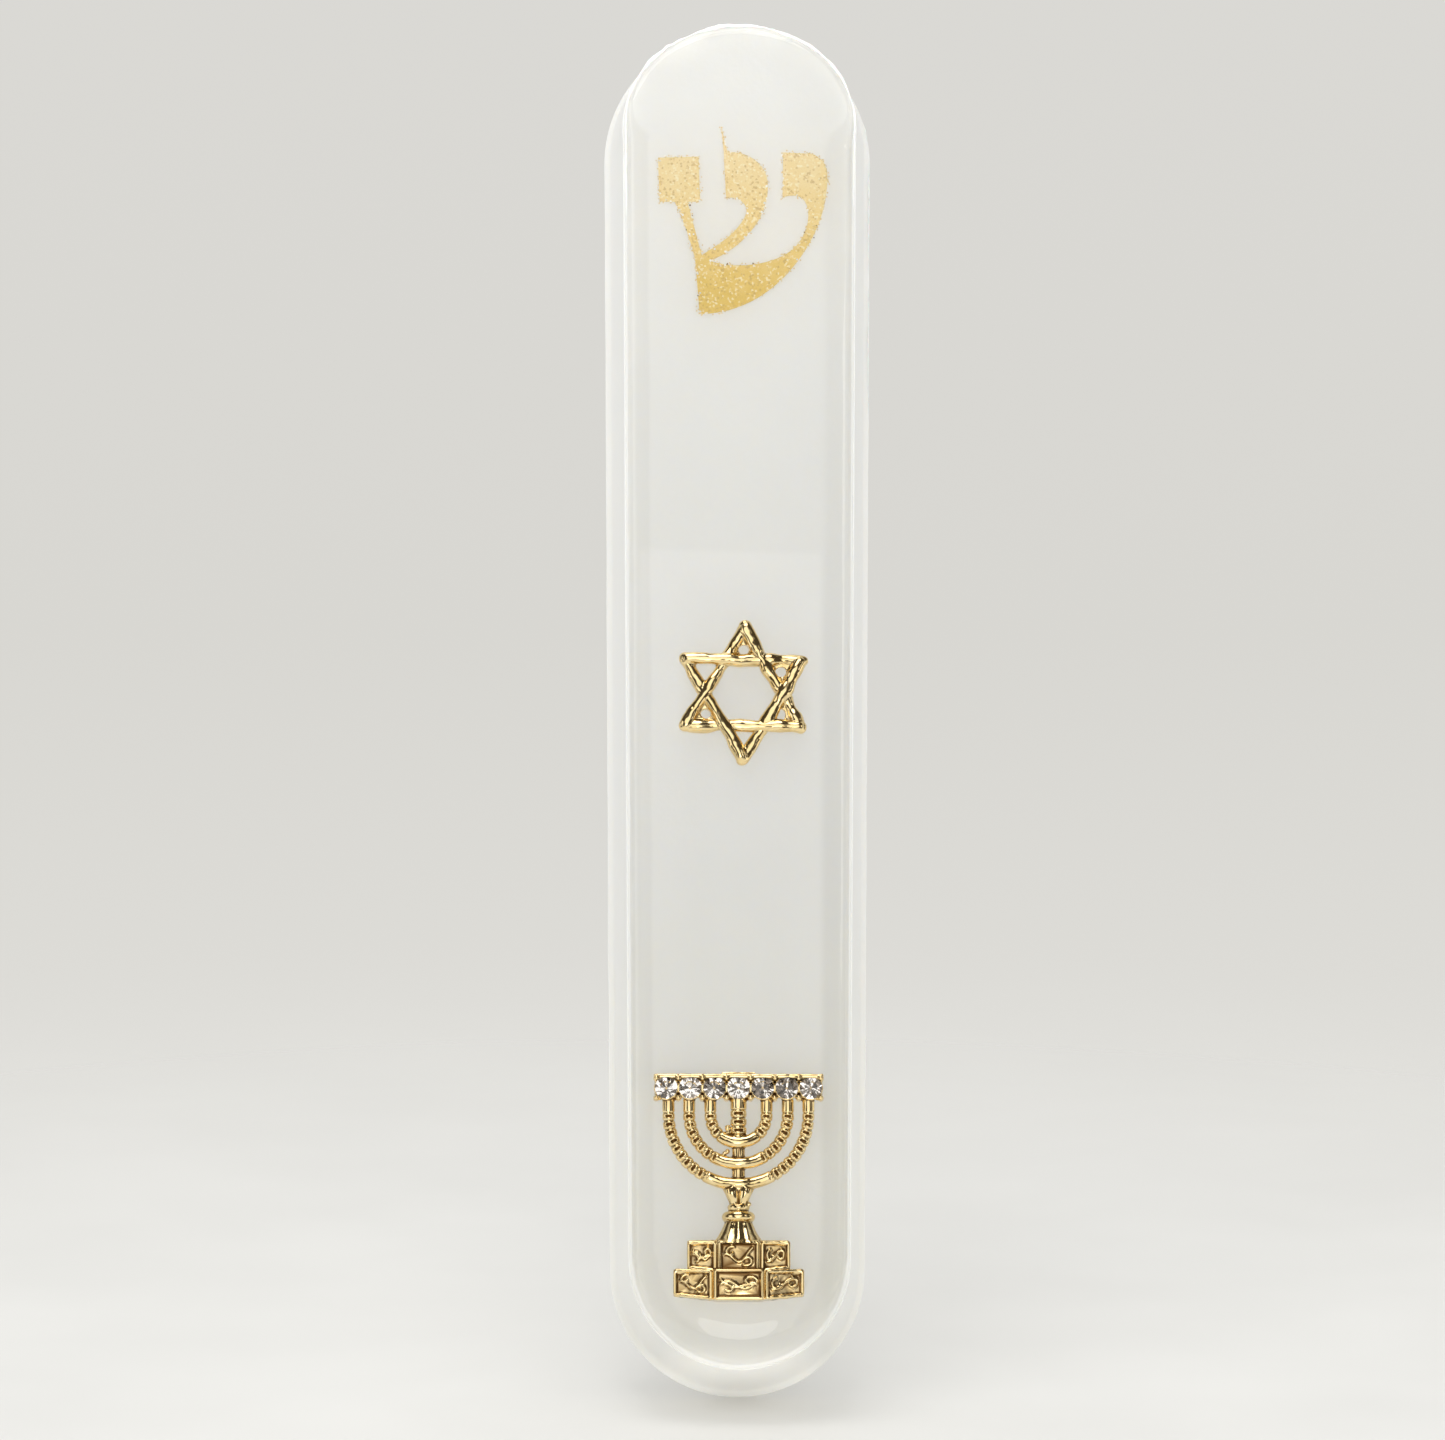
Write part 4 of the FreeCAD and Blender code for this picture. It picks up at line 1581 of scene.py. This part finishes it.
def parchment_scroll():
    """Sheet rolled into a loose spiral, with uneven cut ends."""
    low, high = box_mm("parchment_scroll")
    centre_y = node_middle("scroll_sleeve").y
    points = []
    for row in range(SHEET_ROWS):
        share = row / (SHEET_ROWS - 1)
        end = 2 * share - 1
        for surface in (0.0, SHEET_THICKNESS):
            for step in range(SHEET_STEPS):
                turn = SPIRAL_TURNS * step / (SHEET_STEPS - 1)
                angle = 2 * math.pi * turn
                uneven = 0.05 * noise.noise(Vector((turn * 2, share * 3, 1.0)))
                radius = SPIRAL_START + SPIRAL_PITCH * turn + surface + uneven * 0.6
                edge = 0.22 * noise.noise(Vector((turn * 3, 5.0 if share < 0.5 else 9.0, 0)))
                pull = end * (0.25 + edge)
                z = low.z + (high.z - low.z) * share - pull * abs(end) ** 6
                points.append((radius * math.cos(angle), centre_y + radius * math.sin(angle), z))
    faces = sheet_faces(SHEET_ROWS, SHEET_STEPS)
    piece = closed_piece("rolled_parchment", np.array(points) * MM, faces, 50, parchment())
    install(piece, "scroll", "parchment", "parchment_scroll")


# The film's seam: where it lies round the sleeve, half its width, and the extra thickness there
SEAM_ANGLE = 4.2
SEAM_REACH = 0.25
SEAM_THICKNESS = 0.06
FILM_THICKNESS = 0.09


def scroll_sleeve():
    """Film tube with a lapped seam and faint creases."""
    low, high = box_mm("scroll_sleeve")
    middle = node_middle("scroll_sleeve")
    outside = (high.x - low.x) / 2
    sides, rows = 96, 40

    def sleeve_ring(share, wall):
        """Ring at a share of the length, on the outside (wall 0) or the inside (wall 1)."""
        ring = []
        for step in range(sides):
            angle = 2 * math.pi * step / sides
            spot = Vector((math.cos(angle) * 2, math.sin(angle) * 2, share * 9))
            crease = 0.5 + 0.5 * noise.noise(spot)
            seam = SEAM_THICKNESS if abs(angle - SEAM_ANGLE) < SEAM_REACH else 0.0
            radius = outside - 0.07 * crease - wall * (FILM_THICKNESS + seam)
            ring.append((
                middle.x + radius * math.cos(angle),
                middle.y + radius * math.sin(angle),
                low.z + (high.z - low.z) * share,
            ))
        return ring

    shares = [row / (rows - 1) for row in range(rows)]
    rings = [sleeve_ring(share, 0) for share in shares]
    rings += [sleeve_ring(share, 1) for share in reversed(shares)]
    shell = Shell()
    first, last = shell.add_walls(rings)
    for place in range(sides):
        beside = (place + 1) % sides
        shell.faces.append((last[place], last[beside], first[beside], first[place]))
    piece = closed_piece("film_sleeve", np.array(shell.points) * MM, shell.faces, 50, film())
    install(piece, "scroll", "film", "scroll_sleeve")


# Share of the pad's thickness, and how far its edge lies inside its outline there
PAD_PROFILE = (
    (0.0, 0.10),
    (0.06, 0.05),
    (0.25, 0.02),
    (0.5, 0.0),
    (0.75, 0.02),
    (0.94, 0.05),
    (1.0, 0.10),
)
PAD_STEP = 0.6


def tape_pad(name, node, foam):
    """Foam tape with soft, slightly bulging cut edges."""
    low, high = box_mm(node)
    middle = (low + high) / 2
    width, height = high.x - low.x, high.z - low.z
    shell = Shell()
    rings = []
    for share, pull in PAD_PROFILE:
        y = low.y + (high.y - low.y) * share
        ring = rounded_ring(width - 2 * pull, height - 2 * pull, 1.0, y, middle.z, 8)
        dense = []
        for index, point in enumerate(ring):
            after = ring[(index + 1) % len(ring)]
            pieces = max(1, int(math.dist(point, after) / PAD_STEP))
            for part in range(pieces):
                place = Vector(point).lerp(Vector(after), part / pieces)
                ragged = 0.05 * (0.5 + 0.5 * noise.noise(place * 1.7))
                inward = Vector((middle.x - place.x, 0, middle.z - place.z)).normalized()
                dense.append(place + inward * ragged)
        rings.append(dense)
    shortest = min(len(ring) for ring in rings)
    rings = [ring[:shortest] for ring in rings]
    front, back = shell.add_walls(rings)
    shell.add_cap(front)
    shell.add_cap(back)
    piece = closed_piece(name, np.array(shell.points) * MM, shell.faces, 40, foam)
    install(piece, "case", "foam_tape", node)


# ------------------------------------------------------- stage, light, camera

PITCH = math.radians(7.4)
YAW = math.radians(1.0)
CAMERA_DISTANCE = 1.1
# Width of the view at the case, and how far its middle is from the case's, to the right and up
FRAME_WIDTH = 0.1324
AIM_RIGHT = -1.32 * MM
AIM_UP = -0.73 * MM
SENSOR = 36.0
FLOOR_TILT = math.radians(18)
FLOOR_HALF_WIDTH = 0.6
# Distances from the foot at which the floor starts to fade and is gone
FLOOR_SOLID = 0.06
FLOOR_REACH = 0.21


def camera():
    """Camera a little below and left of the case, looking slightly up at it."""
    level = math.cos(PITCH)
    look = Vector((math.sin(YAW) * level, math.cos(YAW) * level, math.sin(PITCH)))
    right = Vector((math.cos(YAW), -math.sin(YAW), 0))
    up = right.cross(look)
    aim = Vector((0, 0, MIDDLE_Z * MM)) + right * AIM_RIGHT + up * AIM_UP
    data = bpy.data.cameras.new("camera")
    data.lens = SENSOR * CAMERA_DISTANCE / FRAME_WIDTH
    data.sensor_width = SENSOR
    data.clip_start = 0.01
    data.clip_end = 20
    made = bpy.data.objects.new("camera", data)
    bpy.context.scene.collection.objects.link(made)
    made.location = aim - look * CAMERA_DISTANCE
    turn = Matrix((right, up, -look)).transposed()
    made.rotation_euler = turn.to_euler()
    bpy.context.scene.camera = made


def floor():
    """Pale floor under the leaning case, fading out behind it."""
    normal = Vector((0, -math.sin(FLOOR_TILT), math.cos(FLOOR_TILT)))
    back = Vector((0, math.cos(FLOOR_TILT), math.sin(FLOOR_TILT)))
    foot = Vector((0, BACK_Y, CASE_LOW.z)) * MM
    points = []
    for across, along in ((-1, -1), (1, -1), (1, 1), (-1, 1)):
        points.append(foot + Vector((across * FLOOR_HALF_WIDTH, 0, 0)) + back * (along * FLOOR_HALF_WIDTH))
    piece = make_piece("studio_floor", points, [(0, 1, 2, 3)], 0)
    made, tree, shader = material("studio_floor", Roughness=0.8)
    shader.inputs["Specular IOR Level"].default_value = 0.2
    place = add_node(tree, "TexCoord", {}).outputs["Object"]
    offset = add_node(tree, "VectorMath", {0: place, 1: tuple(foot)}, operation="SUBTRACT")
    distance = add_node(tree, "VectorMath", {0: offset.outputs["Vector"]}, operation="LENGTH")
    fade = soft_step(tree, distance.outputs["Value"], FLOOR_REACH, FLOOR_SOLID)
    cloud = add_node(tree, "TexNoise", {"Vector": place, "Scale": 40.0})
    dim, bright = (0.76, 0.755, 0.735), (0.79, 0.785, 0.765)
    colour = ramp(tree, cloud.outputs["Fac"], (0.3, dim), (0.7, bright))
    drive(tree, shader, "Base Color", colour)
    facing = add_node(tree, "NewGeometry", {}).outputs["Backfacing"]
    seen = do_math(tree, "MULTIPLY", fade, do_math(tree, "SUBTRACT", 1.0, facing))
    drive(tree, shader, "Alpha", seen)
    piece.data.materials.append(made)


def backdrop_colour(tree, z):
    """Pale backdrop seen by the camera, darker towards the top."""
    rise = add_node(tree, "MapRange", {"Value": z, "From Min": 0.04, "From Max": 0.20})
    return ramp(
        tree,
        rise.outputs["Result"],
        (0.0, (0.800, 0.795, 0.760)),
        (0.30, (0.745, 0.735, 0.700)),
        (0.60, (0.690, 0.680, 0.645)),
        (1.0, (0.705, 0.695, 0.665)),
    )


def room_colour(tree, beside, z):
    """Even bright room that lights the case, dimmer overhead and to the sides."""
    aside = soft_step(tree, beside, 0.45, 0.85)
    room = blend_colours(tree, aside, (1.28, 1.28, 1.26), (0.90, 0.90, 0.89))
    overhead = soft_step(tree, z, 0.35, 0.85)
    return blend_colours(tree, overhead, room, (0.86, 0.86, 0.85))


def mirrored_colour(tree, direction, beside, y, z):
    """Room seen in gloss: bright in front with dark flags, plain behind the case."""
    blobs = add_node(tree, "TexNoise", {"Vector": direction, "Scale": 2.6, "Detail": 1.0})
    flags = soft_step(tree, blobs.outputs["Fac"], 0.47, 0.53)
    flags = do_math(tree, "MAXIMUM", flags, band(tree, z, 0.30, 0.42, 0.75, 0.90))
    flags = do_math(tree, "MAXIMUM", flags, band(tree, beside, 0.38, 0.48, 0.66, 0.80))
    away = soft_step(tree, y, -0.96, -0.88)
    flags = do_math(tree, "MULTIPLY", flags, away)
    front = blend_colours(tree, flags, (1.30, 1.29, 1.26), (0.06, 0.05, 0.04))
    behind = soft_step(tree, y, -0.1, 0.5)
    return blend_colours(tree, behind, front, (0.68, 0.67, 0.64))


def world():
    """Backdrop for the camera, a bright room for light and a darker one for gloss."""
    made = bpy.data.worlds.new("studio")
    bpy.context.scene.world = made
    made.use_nodes = True
    tree = made.node_tree
    direction = add_node(tree, "TexCoord", {}).outputs["Generated"]
    x, y, z = split(tree, direction)
    beside = do_math(tree, "ABSOLUTE", x)
    path = add_node(tree, "LightPath", {})
    through = do_math(tree, "MULTIPLY", path.outputs["Is Transmission Ray"], 0.5)
    sharp = do_math(tree, "MAXIMUM", path.outputs["Is Glossy Ray"], through)
    mirrored = mirrored_colour(tree, direction, beside, y, z)
    room = blend_colours(tree, sharp, room_colour(tree, beside, z), mirrored)
    colour = blend_colours(tree, path.outputs["Is Camera Ray"], room, backdrop_colour(tree, z))
    tree.links.new(colour, tree.nodes["Background"].inputs["Color"])


def lights():
    """Round soft lights over the top, at the side and low in front of the foot."""
    middle = Vector((0, 0, MIDDLE_Z * MM))
    foot = Vector((0, 0, CASE_LOW.z * MM))
    for name, aim, offset, size, power, colour in (
        ("top_softbox", middle, (-0.02, -0.10, 0.125), 0.12, 0.088, (1.0, 0.99, 0.97)),
        ("side_softbox", middle, (0.55, -0.45, 0.10), 0.12, 0.08, (1.0, 0.97, 0.93)),
        ("low_softbox", foot, (0, -0.26, -0.06), 0.10, 0.05, (1.0, 0.99, 0.97)),
    ):
        data = bpy.data.lights.new(name, "AREA")
        data.shape = "DISK"
        data.size = size
        data.energy = power
        data.color = colour
        made = bpy.data.objects.new(name, data)
        bpy.context.scene.collection.objects.link(made)
        made.location = aim + Vector(offset)
        made.rotation_euler = (aim - made.location).to_track_quat("-Z", "Y").to_euler()


# --------------------------------------------------------------------- build

camera()
floor()
world()
lights()
case_body()
clear_front_coat()
RIM = rim_flash_and_highlight()
flash_bead(
    "front_rim_flash_and_highlight",
    first=-7,
    last=ARC_STEPS + 8,
    inset=FRONT_INSET,
    behind=0.2,
    size=0.2,
    seed=1.0,
    resin=RIM,
)
flash_bead(
    "back_rim_flash_and_highlight",
    first=-30,
    last=15,
    inset=0.14,
    behind=13.4,
    size=0.09,
    seed=4.0,
    resin=RIM,
)
GOLD = gold_plate()
star_charm(GOLD)
menorah_charm(GOLD)
CROWN = crystal_crown()
FOIL = crystal_foil("crystal_foil", (0.90, 0.87, 0.86), (1.0, 0.99, 0.97))
# Painted reflection: near-black foil that some facets get in place of dark surroundings
DARK_REFLECTION_FOIL = crystal_foil("crystal_painted_dark_reflection", (0.05, 0.04, 0.03), (0.30, 0.26, 0.22))
for stone_index in range(CUP_COUNT):
    stone(stone_index, CROWN, FOIL, DARK_REFLECTION_FOIL)
glitter_flakes(foil_letter(glitter_foil()))
rear_cover()
parchment_scroll()
scroll_sleeve()
FOAM = foam_tape()
tape_pad("upper_foam_tape", "upper_tape_pad", FOAM)
tape_pad("lower_foam_tape", "lower_tape_pad", FOAM)

bpy.context.scene.view_settings.view_transform = "Standard"
